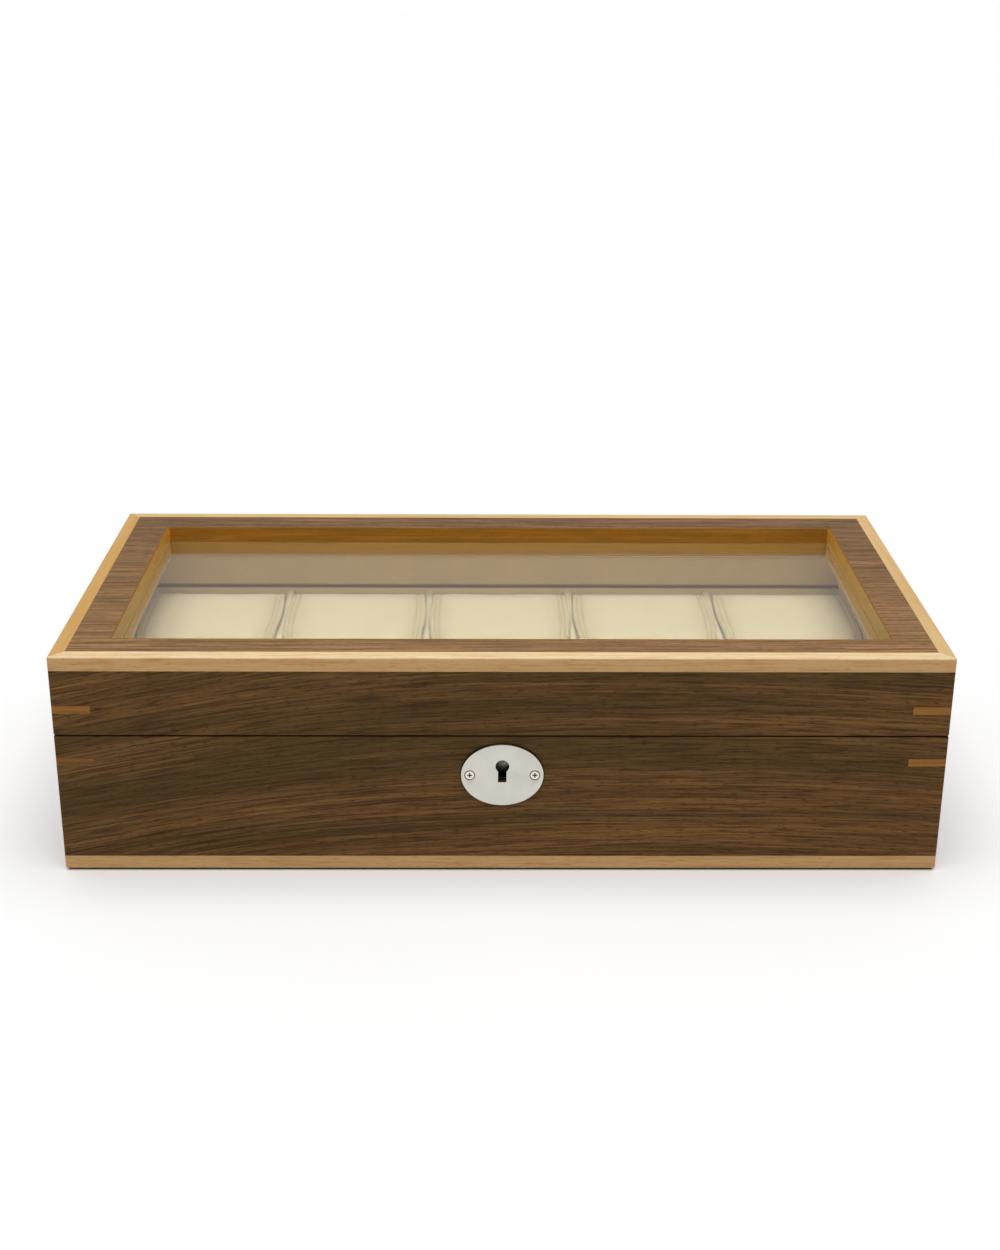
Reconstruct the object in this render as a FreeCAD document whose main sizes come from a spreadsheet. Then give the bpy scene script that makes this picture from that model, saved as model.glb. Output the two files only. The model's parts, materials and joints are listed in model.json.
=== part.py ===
"""Ten-cell watch box: a veneered case with a glazed lid, edged in pale wood, lined and locked.

Frame: millimetres, +Z up, the front with the lock faces -Y, origin at the middle of the resting face.
The case stands on a felt sheet. The lid turns on two small hinges sunk into a groove along the back.
"""
import FreeCAD, Part
import os

import Sketcher
from FreeCAD import Placement, Rotation, Vector

doc = FreeCAD.newDocument("WatchBox")

# --- Driving dimensions -----------------------------------------------------------------------

SIZES = {
    # Overall
    "box_width": 330,
    "box_depth": 167,
    "box_height": 87.5,
    "seam_height": 56.2,
    "seam_gap": 0.3,
    "edge_round": 0.8,
    "seam_round": 0.5,
    # Case
    "wall_thick": 11,
    "edging_side": 5.5,
    "felt_thick": 0.8,
    "felt_inset": 1.2,
    "floor_thick": 5,
    "pad_thick": 1.5,
    "lining_thick": 2,
    # Splines let into the mitred corners
    "spline_leg": 14.2,
    "spline_thick": 3,
    "spline_height_case": 45.5,
    "spline_height_lid": 66.6,
    # Lid top and its window
    "panel_thick": 5.9,
    "window_front": 18.2,
    "window_back": 20.2,
    "window_side": 20.3,
    "glass_thick": 2,
    "glass_lap": 6,
    "underframe_thick": 7.5,
    "lipping_thick": 0.7,
    "lipping_step": 0.8,
    "flange_thick": 1.5,
    # Dividers
    "divider_thick": 4,
    "divider_top": 55,
    "divider_round": 1.9,
    "lap_play": 0.2,
    # Watch cushions
    "cushion_width": 56,
    "cushion_length": 66,
    "cushion_foot": 7.6,
    "cushion_crown": 57,
    "crown_round": 15,
    "foot_round": 7,
    "end_round": 4,
    # Escutcheon and its keyhole
    "plate_width": 31.2,
    "plate_height": 25.4,
    "plate_thick": 1,
    "plate_bevel": 0.3,
    "plate_centre": 40.7,
    "plate_screw_span": 24.2,
    "keyhole_round": 2.5,
    "keyhole_slot": 3.1,
    "keyhole_centre": 44.3,
    "keyhole_drop": 6.4,
    "keyhole_margin": 0.3,
    # Lock, let into the front wall from its rim
    "lock_width": 40,
    "lock_front": -80.5,
    "lock_back": -74.1,
    "lock_floor": 32,
    "lock_sheet": 0.8,
    "rim_plate_width": 52,
    "rim_plate_front": -81.1,
    "rim_plate_back": -73.5,
    "rim_plate_thick": 1.2,
    "rim_screw_inset": 3,
    "post_round": 0.9,
    "key_pin_recess": 0.2,
    "spring_thick": 0.5,
    "spring_root": 17,
    "spring_foot": 5,
    "spring_tip": 7,
    "spring_tip_length": 2,
    "spring_gap": 0.15,
    # Bolt and the strike's loops
    "bolt_throw": 4,
    "bolt_thick": 1.6,
    "bolt_low": 46,
    "bolt_high": 50.4,
    "bolt_tail": 18.4,
    "bolt_nose": 10,
    "talon_half": 1.6,
    "talon_deep": 2,
    "finger_side": 1.2,
    "neck_width": 2.4,
    "rest_gap": 0.6,
    "loop_spacing": 20,
    "loop_drop": 5.2,
    "loop_thick": 1.2,
    "loop_width": 3.8,
    "loop_rim": 0.9,
    "lock_play": 0.4,
    # Hinges
    "pin_setback": 3,
    "pin_round": 0.8,
    "pin_play": 0.05,
    "knuckle_round": 1.75,
    "knuckle_pitch": 6,
    "knuckle_play": 0.3,
    "leaf_thick": 1,
    "leaf_reach": 6.2,
    "leaf_screw_line": 4.1,
    "hinge_place": 105,
    "groove_angle": 48,
    # Screws
    "screw_shank": 0.8,
    "screw_head": 1.5,
    "screw_head_deep": 0.6,
    "screw_length": 7,
    "plate_screw_head": 1.65,
    "plate_screw_sink": 2.0,
    "plate_screw_length": 3.7,
    "hole_play": 0.05,
}

sheet = doc.addObject("Spreadsheet::Sheet", "Sizes")
for row, (alias, amount) in enumerate(SIZES.items(), start=1):
    sheet.set(f"A{row}", alias.replace("_", " "))
    sheet.set(f"B{row}", str(amount))
    sheet.setAlias(f"B{row}", alias)
doc.recompute()

# Expressions for the places that several pieces share.
HALF_WIDTH = "(Sizes.box_width / 2)"
HALF_DEPTH = "(Sizes.box_depth / 2)"
CASE_FOOT = "Sizes.felt_thick"
CASE_TOP = "(Sizes.seam_height - Sizes.seam_gap / 2)"
LID_FOOT = "(Sizes.seam_height + Sizes.seam_gap / 2)"
LID_TOP = "Sizes.box_height"
RAIL_TOP = "(Sizes.box_height - Sizes.edging_side)"
PANEL_FOOT = "(Sizes.box_height - Sizes.panel_thick)"
GLASS_FOOT = f"({PANEL_FOOT} - Sizes.glass_thick)"
UNDERFRAME_FOOT = f"({PANEL_FOOT} - Sizes.underframe_thick)"
INNER_X = f"({HALF_WIDTH} - Sizes.wall_thick)"
INNER_Y = f"({HALF_DEPTH} - Sizes.wall_thick)"
LINED_X = f"({INNER_X} - Sizes.lining_thick)"
LINED_Y = f"({INNER_Y} - Sizes.lining_thick)"
FLOOR_TOP = "(Sizes.felt_thick + Sizes.floor_thick)"
PAD_TOP = f"({FLOOR_TOP} + Sizes.pad_thick)"
WINDOW_X = f"({HALF_WIDTH} - Sizes.window_side)"
WINDOW_Y = f"({HALF_DEPTH} - (Sizes.window_front + Sizes.window_back) / 2)"
WINDOW_SHIFT = "((Sizes.window_front - Sizes.window_back) / 2)"
LIPPED_X = f"({WINDOW_X} + Sizes.lipping_thick)"
LIPPED_Y = f"({WINDOW_Y} + Sizes.lipping_thick)"
LEDGE_X = f"({WINDOW_X} - Sizes.lipping_step)"
LEDGE_Y = f"({WINDOW_Y} - Sizes.lipping_step)"
GLASS_X = f"({WINDOW_X} + Sizes.glass_lap)"
GLASS_Y = f"({WINDOW_Y} + Sizes.glass_lap)"
CELL_PITCH = f"((2 * {LINED_X} + Sizes.divider_thick) / 5)"
ROW_PLACE = f"(({LINED_Y} + Sizes.divider_thick / 2) / 2)"
PIN_Y = f"({HALF_DEPTH} - Sizes.pin_setback)"
LOCK_X = "(Sizes.lock_width / 2)"
LOCK_Y = "((Sizes.lock_front + Sizes.lock_back) / 2)"
RIM_PLATE_X = "(Sizes.rim_plate_width / 2)"
RIM_PLATE_FOOT = f"({CASE_TOP} - Sizes.rim_plate_thick)"
SCREW_HOLE = "(Sizes.screw_shank + Sizes.hole_play)"

TURNS = {"front": 0, "right": 90, "back": 180, "left": -90}
BOTH_WAYS = (-1, 1)
UP, DOWN = Vector(0, 0, 1), Vector(0, 0, -1)
RIGHTWARD, BACKWARD, FORWARD = Vector(1, 0, 0), Vector(0, 1, 0), Vector(0, -1, 0)
OVERRUN = 1

# --- Helpers ----------------------------------------------------------------------------------


def worth(expression):
    """The number that an expression on the sheet has now."""
    return float(sheet.evalExpression(str(expression)))


def bind(thing, **expressions):
    """Ties properties of a document object to the sheet. Two underscores stand for a full stop."""
    for prop, expression in expressions.items():
        thing.setExpression(prop.replace("__", "."), str(expression))
    return thing


def move(thing, place, rotation=Rotation()):
    """Turns an object, and places it by three expressions."""
    thing.Placement = Placement(Vector(), rotation)
    return bind(thing, Placement__Base__x=place[0], Placement__Base__y=place[1],
                Placement__Base__z=place[2])


def new_object(kind, label):
    made = doc.addObject(kind, label)
    made.Label = label
    return made


def sketch(body, name, plane, offset="0"):
    """An empty sketch on one of the body's origin planes, moved along the plane's normal."""
    made = body.newObject("Sketcher::SketchObject", f"{body.Name}_{name}")
    support = next(f for f in body.Origin.OriginFeatures if f.Role == f"{plane}_Plane")
    made.AttachmentSupport = [(support, "")]
    made.MapMode = "FlatFace"
    if offset != "0":
        made.setExpression("AttachmentOffset.Base.z", offset)
    return made


def fix_point(made, geometry, point, x, y):
    """Holds a sketch point at a place that two expressions give."""
    for kind, expression, axis in (("DistanceX", x, -2), ("DistanceY", y, -1)):
        if expression == "0":
            made.addConstraint(Sketcher.Constraint("PointOnObject", geometry, point, axis))
        else:
            held = Sketcher.Constraint(kind, -1, 1, geometry, point, worth(expression))
            made.setExpression(f"Constraints[{made.addConstraint(held)}]", expression)


def draw_outline(made, corners):
    """A closed outline of straight lines through corners given as pairs of expressions."""
    places = [Vector(worth(x), worth(y), 0) for x, y in corners]
    first = made.GeometryCount
    for here, there in zip(places, places[1:] + places[:1]):
        made.addGeometry(Part.LineSegment(here, there), False)
    count = len(corners)
    for index in range(count):
        following = first + (index + 1) % count
        made.addConstraint(Sketcher.Constraint("Coincident", first + index, 2, following, 1))
    for index, (x, y) in enumerate(corners):
        fix_point(made, first + index, 1, x, y)


def draw_rectangle(made, low_x, low_y, high_x, high_y):
    draw_outline(made, [(low_x, low_y), (high_x, low_y), (high_x, high_y), (low_x, high_y)])


def draw_centred(made, half_x, half_y, centre_y="0"):
    draw_rectangle(made, f"-{half_x}", f"{centre_y} - {half_y}", half_x, f"{centre_y} + {half_y}")


def draw_circle(made, x, y, radius):
    circle = Part.Circle(Vector(worth(x), worth(y), 0), UP, worth(radius))
    index = made.addGeometry(circle, False)
    fix_point(made, index, 3, x, y)
    held = made.addConstraint(Sketcher.Constraint("Radius", index, worth(radius)))
    made.setExpression(f"Constraints[{held}]", radius)


def pad(body, profile, length, both=False):
    made = body.newObject("PartDesign::Pad", f"{body.Name}_pad")
    made.Profile = profile
    made.SideType = "Symmetric" if both else "One side"
    return bind(made, Length=length)


def pocket(body, profile, length, both=False):
    """Cuts a profile away, and stops the script if nothing was there to cut."""
    doc.recompute()
    before = body.Tip.Shape.Volume
    made = body.newObject("PartDesign::Pocket", f"{body.Name}_pocket")
    made.Profile = profile
    made.SideType = "Symmetric" if both else "One side"
    bind(made, Length=length)
    doc.recompute()
    if made.Shape.isNull() or made.Shape.Volume > before - 0.001:
        raise RuntimeError(f"{made.Name} cuts nothing")
    return made


def fillet(body, radius, wanted):
    """Rounds the edges of the body's last feature that pass a test."""
    doc.recompute()
    base = body.Tip
    made = body.newObject("PartDesign::Fillet", f"{body.Name}_fillet")
    numbered = enumerate(base.Shape.Edges, start=1)
    made.Base = (base, [f"Edge{number}" for number, edge in numbered if wanted(edge)])
    return bind(made, Radius=radius)


def lies_at(edge, axis, level):
    """Whether an edge lies wholly at one place along an axis."""
    box = edge.BoundBox
    low, high = getattr(box, f"{axis}Min"), getattr(box, f"{axis}Max")
    return abs(low - level) < 0.001 and abs(high - level) < 0.001


def block(label, low, high):
    """A box between two corners given as triples of expressions."""
    made = new_object("Part::Box", label)
    bind(made, Length=f"({high[0]}) - ({low[0]})", Width=f"({high[1]}) - ({low[1]})",
         Height=f"({high[2]}) - ({low[2]})")
    return move(made, low)


def rod(label, radius, length, place, way):
    """A cylinder that starts at a place and runs along a direction."""
    made = new_object("Part::Cylinder", label)
    bind(made, Radius=radius, Height=length)
    return move(made, place, Rotation(UP, way))


def combine(kind, label, *things):
    """A boolean or compound: Cut and Common take two objects, MultiFuse and Compound take more."""
    made = new_object(f"Part::{kind}", label)
    if kind in ("Cut", "Common"):
        made.Base, made.Tool = things
    elif kind == "Compound":
        made.Links = list(things)
    else:
        made.Shapes = list(things)
    return made


def mitred_strip(label, side, span_x, span_y, width, low, high, shift="0"):
    """One side of a mitred rectangular frame whose outside measures span_x by span_y."""
    span, across = (span_x, span_y) if side in ("front", "back") else (span_y, span_x)
    made = new_object("Part::Wedge", label)
    bind(made, Xmin=f"-{span} / 2", Xmax=f"{span} / 2",
         X2min=f"-{span} / 2 + {width}", X2max=f"{span} / 2 - {width}",
         Ymin=f"-{across} / 2", Ymax=f"-{across} / 2 + {width}",
         Zmin=low, Zmax=high, Z2min=low, Z2max=high)
    return move(made, ("0", shift, "0"), Rotation(UP, TURNS[side]))


def slab(label, half_x, half_y, low, high):
    """A body that is a rectangular plate centred on the origin's upright."""
    made = new_object("PartDesign::Body", label)
    profile = sketch(made, "plate", "XY", low)
    draw_centred(profile, half_x, half_y)
    pad(made, profile, f"{high} - {low}")
    return made


def ring(label, outer, inner, low, high, shift="0"):
    """A body that is a rectangular frame. Its hole may be shifted along Y."""
    made = new_object("PartDesign::Body", label)
    profile = sketch(made, "ring", "XY", low)
    draw_centred(profile, *outer)
    draw_centred(profile, *inner, shift)
    pad(made, profile, f"{high} - {low}")
    return made


# --- Screws and the holes that take them -------------------------------------------------------


def screw_shape(head, length):
    """A countersunk screw with a cross recess, pointing down, its head's face at the origin."""
    shank, head_deep = worth("Sizes.screw_shank"), worth("Sizes.screw_head_deep")
    point = length / 5
    arm, arm_half, recess = 1.15 * head, 0.15 * head, 0.75 * head_deep
    cone = Part.makeCone(shank, head, head_deep, Vector(0, 0, -head_deep))
    stem = Part.makeCylinder(shank, length - point - head_deep, Vector(0, 0, point - length))
    tip = Part.makeCone(shank / 8, shank, point, Vector(0, 0, -length))
    arm_x = Part.makeBox(arm, 2 * arm_half, head_deep, Vector(-arm / 2, -arm_half, -recess))
    arm_y = Part.makeBox(2 * arm_half, arm, head_deep, Vector(-arm_half, -arm / 2, -recess))
    return cone.fuse([stem, tip]).removeSplitter().cut(arm_x.fuse(arm_y))


def screws(label, places, facing, head="Sizes.screw_head", length="Sizes.screw_length"):
    """Like screws at several places, as separate solids, with their heads facing one way."""
    turn = Rotation(UP, facing)
    solids = []
    for place in places:
        solid = screw_shape(worth(head), worth(length))
        solid.Placement = Placement(Vector(*(worth(part) for part in place)), turn)
        solids.append(solid)
    made = new_object("Part::Feature", label)
    made.Shape = Part.makeCompound(solids)
    return made


def plate_holes(label, places, facing, sink="Sizes.screw_head"):
    """Countersunk holes through a thin plate, for screws whose heads are flush with it."""
    inward = Vector(facing).negative()
    holes = []
    for place in places:
        cone = new_object("Part::Cone", f"{label}_sink")
        bind(cone, Radius1=f"{sink} + Sizes.hole_play", Radius2=SCREW_HOLE,
             Height="Sizes.screw_head_deep")
        holes.append(move(cone, place, Rotation(UP, inward)))
        holes.append(rod(f"{label}_bore", SCREW_HOLE, "Sizes.rim_plate_thick + 1", place, inward))
    return combine("MultiFuse", label, *holes)


def wood_holes(label, places, facing, length="Sizes.screw_length"):
    """Pilot holes in wood, a little deeper than the screws are long."""
    inward = Vector(facing).negative()
    return [rod(label, SCREW_HOLE, f"{length} + {OVERRUN}", place, inward) for place in places]


HINGE_MIDDLES = {"left": "-Sizes.hinge_place", "right": "Sizes.hinge_place"}
HINGE_SCREW_STEPS = (-10, 0, 10)
HINGE_SCREW_SPOTS = [(f"{middle} + {step}", f"{PIN_Y} - Sizes.leaf_screw_line")
                     for middle in HINGE_MIDDLES.values() for step in HINGE_SCREW_STEPS]
LOCK_SCREW_SPOTS = [(f"{way} * ({RIM_PLATE_X} - Sizes.rim_screw_inset)", LOCK_Y) for way in BOTH_WAYS]
HINGE_CASE_PLACES = [(*spot, CASE_TOP) for spot in HINGE_SCREW_SPOTS]
HINGE_LID_PLACES = [(*spot, LID_FOOT) for spot in HINGE_SCREW_SPOTS]
LOCK_PLACES = [(*spot, CASE_TOP) for spot in LOCK_SCREW_SPOTS]
STRIKE_PLACES = [(*spot, LID_FOOT) for spot in LOCK_SCREW_SPOTS]
PLATE_PLACES = [(f"{way} * Sizes.plate_screw_span / 2", f"-{HALF_DEPTH} - Sizes.plate_thick",
                 "Sizes.plate_centre") for way in BOTH_WAYS]

# --- Rounded envelopes, and what is cut from more than one piece -------------------------------


def envelope(label, low, high, seam):
    """The outside of the case or the lid: rounded all over, a little less at the seam."""
    made = slab(label, HALF_WIDTH, HALF_DEPTH, low, high)
    level = worth(seam)
    fillet(made, "Sizes.edge_round", lambda edge: not lies_at(edge, "Z", level))
    fillet(made, "Sizes.seam_round", lambda edge: lies_at(edge, "Z", level))
    return made


def corner_splines(label, height, shell):
    """Four thin triangular splines let across the mitred corners of the case or the lid."""
    splines = []
    for corner, (way_x, way_y) in enumerate(((-1, -1), (1, -1), (1, 1), (-1, 1)), start=1):
        blank = new_object("PartDesign::Body", f"{label}_blank_{corner}")
        profile = sketch(blank, "triangle", "XY", f"{height} - Sizes.spline_thick / 2")
        tip_x, tip_y = f"{way_x} * {HALF_WIDTH}", f"{way_y} * {HALF_DEPTH}"
        draw_outline(profile, [(tip_x, tip_y), (f"{tip_x} - {way_x} * Sizes.spline_leg", tip_y),
                               (tip_x, f"{tip_y} - {way_y} * Sizes.spline_leg")])
        pad(blank, profile, "Sizes.spline_thick")
        splines.append(combine("Common", f"{label}_{corner}", blank, shell))
    return combine("Compound", label, *splines)


def stop_groove():
    """The bevels along both back edges, which meet when the lid is fully open."""
    made = new_object("PartDesign::Body", "stop_groove")
    profile = sketch(made, "bevels", "YZ")
    reach = f"(Sizes.pin_setback + {OVERRUN})"
    rise = f"({reach} * tan(Sizes.groove_angle * 1 deg))"
    outer = f"{PIN_Y} + {reach}"
    draw_outline(profile, [(PIN_Y, "Sizes.seam_height"), (outer, f"Sizes.seam_height - {rise}"),
                           (outer, f"Sizes.seam_height + {rise}")])
    pad(made, profile, f"Sizes.box_width + 2 * {OVERRUN}", both=True)
    return made


KNUCKLES = 5
HINGE_HALF = f"({KNUCKLES} * Sizes.knuckle_pitch / 2)"
KNUCKLE_RELIEF = "(Sizes.knuckle_round + Sizes.knuckle_play)"


def hinge_seats():
    """What the hinges take out of the rims: seats for the leaves, coves for the knuckles, holes."""
    cutters = wood_holes("hinge_hole_case", HINGE_CASE_PLACES, UP)
    cutters += wood_holes("hinge_hole_lid", HINGE_LID_PLACES, DOWN)
    for name, middle in HINGE_MIDDLES.items():
        start, end = f"{middle} - {HINGE_HALF}", f"{middle} + {HINGE_HALF}"
        low = (start, f"{PIN_Y} - Sizes.leaf_reach", f"{CASE_TOP} - Sizes.leaf_thick")
        high = (end, f"{PIN_Y} + {OVERRUN}", f"{LID_FOOT} + Sizes.leaf_thick")
        cutters.append(block(f"leaf_seat_{name}", low, high))
        cutters.append(rod(f"knuckle_cove_{name}", KNUCKLE_RELIEF, f"2 * {HINGE_HALF}",
                           (start, PIN_Y, "Sizes.seam_height"), RIGHTWARD))
    return combine("MultiFuse", "hinge_seats", *cutters)


def keyhole(label, margin):
    """A prism of the keyhole's outline, from inside the lock to clear of the front."""
    made = new_object("PartDesign::Body", label)
    start = "-(Sizes.lock_front + Sizes.lock_sheet)"
    length = f"{HALF_DEPTH} + Sizes.lock_front + Sizes.lock_sheet + Sizes.plate_thick + {OVERRUN}"
    head = sketch(made, "head", "XZ", start)
    draw_circle(head, "0", "Sizes.keyhole_centre", f"Sizes.keyhole_round + {margin}")
    pad(made, head, length)
    slot = sketch(made, "slot", "XZ", start)
    half = f"(Sizes.keyhole_slot / 2 + {margin})"
    draw_rectangle(slot, f"-{half}", f"Sizes.keyhole_centre - Sizes.keyhole_drop - {margin}",
                   half, "Sizes.keyhole_centre")
    pad(made, slot, length)
    return made


def lock_mortise(wide_keyhole):
    """What the lock and the escutcheon's screws take out of the front wall."""
    above = f"{CASE_TOP} + {OVERRUN}"
    cutters = [
        wide_keyhole,
        block("mortise_case", (f"-{LOCK_X}", "Sizes.lock_front", "Sizes.lock_floor"),
              (LOCK_X, "Sizes.lock_back", above)),
        block("mortise_rim", (f"-{RIM_PLATE_X}", "Sizes.rim_plate_front", RIM_PLATE_FOOT),
              (RIM_PLATE_X, "Sizes.rim_plate_back", above)),
    ]
    cutters += wood_holes("lock_hole", LOCK_PLACES, UP)
    cutters += wood_holes("plate_hole", PLATE_PLACES, FORWARD, "Sizes.plate_screw_length")
    return combine("MultiFuse", "lock_mortise", *cutters)


def strike_seat():
    """What the strike takes out of the lid's front rail."""
    seat = block("strike_rim", (f"-{RIM_PLATE_X}", "Sizes.rim_plate_front", f"{LID_FOOT} - {OVERRUN}"),
                 (RIM_PLATE_X, "Sizes.rim_plate_back", f"{LID_FOOT} + Sizes.rim_plate_thick"))
    return combine("MultiFuse", "strike_seat", seat, *wood_holes("strike_hole", STRIKE_PLACES, DOWN))


case_shell = envelope("case_shell", CASE_FOOT, CASE_TOP, CASE_TOP)
lid_shell = envelope("lid_shell", LID_FOOT, LID_TOP, LID_FOOT)
case_splines = corner_splines("base_corner_splines", "Sizes.spline_height_case", case_shell)
lid_splines = corner_splines("lid_corner_splines", "Sizes.spline_height_lid", lid_shell)
groove = stop_groove()
hinge_cutter = hinge_seats()
keyhole_in_wood = keyhole("keyhole_in_wood", "Sizes.keyhole_margin")
keyhole_in_plate = keyhole("keyhole_in_plate", "0")
lock_cutter = lock_mortise(keyhole_in_wood)
strike_cutter = strike_seat()

# --- Case and lid carcasses --------------------------------------------------------------------


def carcass(prefix, suffix, low, high, shell, rebate, extra):
    """Four mitred walls trimmed to the rounded shell, each rebated and cut for what it holds.

    The rebate is an inset from the outside, a width, a low and a high level."""
    inset, width, rebate_low, rebate_high = rebate
    rebate_x, rebate_y = f"(Sizes.box_width - 2 * {inset})", f"(Sizes.box_depth - 2 * {inset})"
    made = []
    for side in TURNS:
        label = f"{prefix}_{side}_{suffix}"
        blank = mitred_strip(f"{label}_blank", side, "Sizes.box_width", "Sizes.box_depth",
                             "Sizes.wall_thick", low, high)
        step = mitred_strip(f"{label}_rebate", side, rebate_x, rebate_y, width, rebate_low, rebate_high)
        tools = combine("MultiFuse", f"{label}_tools", step, *extra[side])
        trimmed = combine("Common", f"{label}_trimmed", blank, shell)
        made.append(combine("Cut", label, trimmed, tools))
    return made


def edging(prefix, low, high, shell):
    """Four mitred strips of pale wood around an outer corner of the case or the lid."""
    made = []
    for side in TURNS:
        label = f"{prefix}_edging_{side}"
        blank = mitred_strip(f"{label}_blank", side, "Sizes.box_width", "Sizes.box_depth",
                             "Sizes.edging_side", low, high)
        made.append(combine("Common", label, blank, shell))
    return made


EDGING_TOP = f"({CASE_FOOT} + Sizes.edging_side)"
base_panels = carcass("base", "panel", CASE_FOOT, CASE_TOP, case_shell,
                      ("0", "Sizes.edging_side", CASE_FOOT, EDGING_TOP),
                      {"front": [case_splines, lock_cutter],
                       "back": [case_splines, groove, hinge_cutter],
                       "left": [case_splines, groove],
                       "right": [case_splines, groove]})
lid_rails = carcass("lid", "rail", LID_FOOT, RAIL_TOP, lid_shell,
                    ("Sizes.edging_side", "(Sizes.wall_thick - Sizes.edging_side)",
                     PANEL_FOOT, RAIL_TOP),
                    {"front": [lid_splines, strike_cutter],
                     "back": [lid_splines, groove, hinge_cutter],
                     "left": [lid_splines, groove],
                     "right": [lid_splines, groove]})
base_edging = edging("base", CASE_FOOT, EDGING_TOP, case_shell)
lid_edging = edging("lid", RAIL_TOP, LID_TOP, lid_shell)

# --- Case floor, felt and linings --------------------------------------------------------------

floor_panel = slab("base_floor_panel", INNER_X, INNER_Y, CASE_FOOT, FLOOR_TOP)
floor_lining = slab("base_floor_lining", INNER_X, INNER_Y, FLOOR_TOP, PAD_TOP)
felt = slab("underside_felt", f"({HALF_WIDTH} - Sizes.felt_inset)", f"({HALF_DEPTH} - Sizes.felt_inset)",
            "0", CASE_FOOT)
base_lining = ring("base_lining", (INNER_X, INNER_Y), (LINED_X, LINED_Y), PAD_TOP, CASE_TOP)

# --- Lid top, glass and lining -----------------------------------------------------------------


def underframe():
    """The frame under the veneered panel, rebated on top for the glass."""
    made = ring("lid_underframe", (INNER_X, INNER_Y), (LIPPED_X, LIPPED_Y), UNDERFRAME_FOOT, PANEL_FOOT,
                WINDOW_SHIFT)
    rebate = sketch(made, "rebate", "XY", PANEL_FOOT)
    draw_centred(rebate, GLASS_X, GLASS_Y, WINDOW_SHIFT)
    pocket(made, rebate, "Sizes.glass_thick")
    return made


def glass():
    made = new_object("PartDesign::Body", "window_glass")
    profile = sketch(made, "pane", "XY", GLASS_FOOT)
    draw_centred(profile, GLASS_X, GLASS_Y, WINDOW_SHIFT)
    pad(made, profile, "Sizes.glass_thick")
    return made


def lipping(label, thick, low, high):
    """Four mitred strips that line the window's cut edge above or below the glass."""
    strips = [mitred_strip(f"{label}_{side}", side, f"(2 * {LIPPED_X})", f"(2 * {LIPPED_Y})",
                           thick, low, high, WINDOW_SHIFT) for side in TURNS]
    return combine("Compound", label, *strips)


def lid_lining_ring():
    """The lining of the lid's rails, with a flange that hides the underframe and its lipping."""
    made = ring("lid_lining", (INNER_X, INNER_Y), (LINED_X, LINED_Y), LID_FOOT, UNDERFRAME_FOOT)
    flange = sketch(made, "flange", "XY", f"{UNDERFRAME_FOOT} - Sizes.flange_thick")
    draw_centred(flange, INNER_X, INNER_Y)
    draw_centred(flange, LEDGE_X, LEDGE_Y, WINDOW_SHIFT)
    pad(made, flange, "Sizes.flange_thick")
    return made


lid_panel = ring("lid_top_panel",
                 (f"({HALF_WIDTH} - Sizes.edging_side)", f"({HALF_DEPTH} - Sizes.edging_side)"),
                 (LIPPED_X, LIPPED_Y), PANEL_FOOT, LID_TOP, WINDOW_SHIFT)
lid_underframe = underframe()
window_glass = glass()
upper_lipping = lipping("window_lipping_upper", "Sizes.lipping_thick", PANEL_FOOT, LID_TOP)
lower_lipping = lipping("window_lipping_lower", "(Sizes.lipping_thick + Sizes.lipping_step)",
                        UNDERFRAME_FOOT, GLASS_FOOT)
lid_lining = lid_lining_ring()

# --- Dividers: four across, one lengthwise, lapped together ------------------------------------

LAP_HEIGHT = f"(({PAD_TOP} + Sizes.divider_top) / 2)"
LAP_HALF = "(Sizes.divider_thick / 2 + Sizes.lap_play / 2)"
CROSS_STEPS = (-1.5, -0.5, 0.5, 1.5)


def divider(label, half_x, half_y):
    """A board whose two long upper edges are rounded."""
    made = slab(label, half_x, half_y, PAD_TOP, "Sizes.divider_top")
    long_edge = 1.9 * max(worth(half_x), worth(half_y))
    top = worth("Sizes.divider_top")
    fillet(made, "Sizes.divider_round", lambda edge: lies_at(edge, "Z", top) and edge.Length > long_edge)
    return made


def long_divider():
    """The lengthwise board, slotted from the top where the cross boards sit."""
    made = divider("long_divider", LINED_X, "(Sizes.divider_thick / 2)")
    slots = sketch(made, "slots", "XZ")
    for step in CROSS_STEPS:
        middle = f"{step} * {CELL_PITCH}"
        draw_rectangle(slots, f"{middle} - {LAP_HALF}", LAP_HEIGHT, f"{middle} + {LAP_HALF}",
                       f"Sizes.divider_top + {OVERRUN}")
    pocket(made, slots, "2 * Sizes.divider_thick", both=True)
    return made


def cross_divider(number, step):
    """A board from front to back, slotted from below to sit over the lengthwise board."""
    made = divider(f"cross_divider_{number}", "(Sizes.divider_thick / 2)", LINED_Y)
    slot = sketch(made, "slot", "YZ")
    draw_rectangle(slot, f"-{LAP_HALF}", f"{PAD_TOP} - {OVERRUN}", LAP_HALF, LAP_HEIGHT)
    pocket(made, slot, "2 * Sizes.divider_thick", both=True)
    return move(made, (f"{step} * {CELL_PITCH}", "0", "0"))


dividers = [long_divider()]
dividers += [cross_divider(number, step) for number, step in enumerate(CROSS_STEPS, start=1)]

# --- Watch cushions ----------------------------------------------------------------------------


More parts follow.
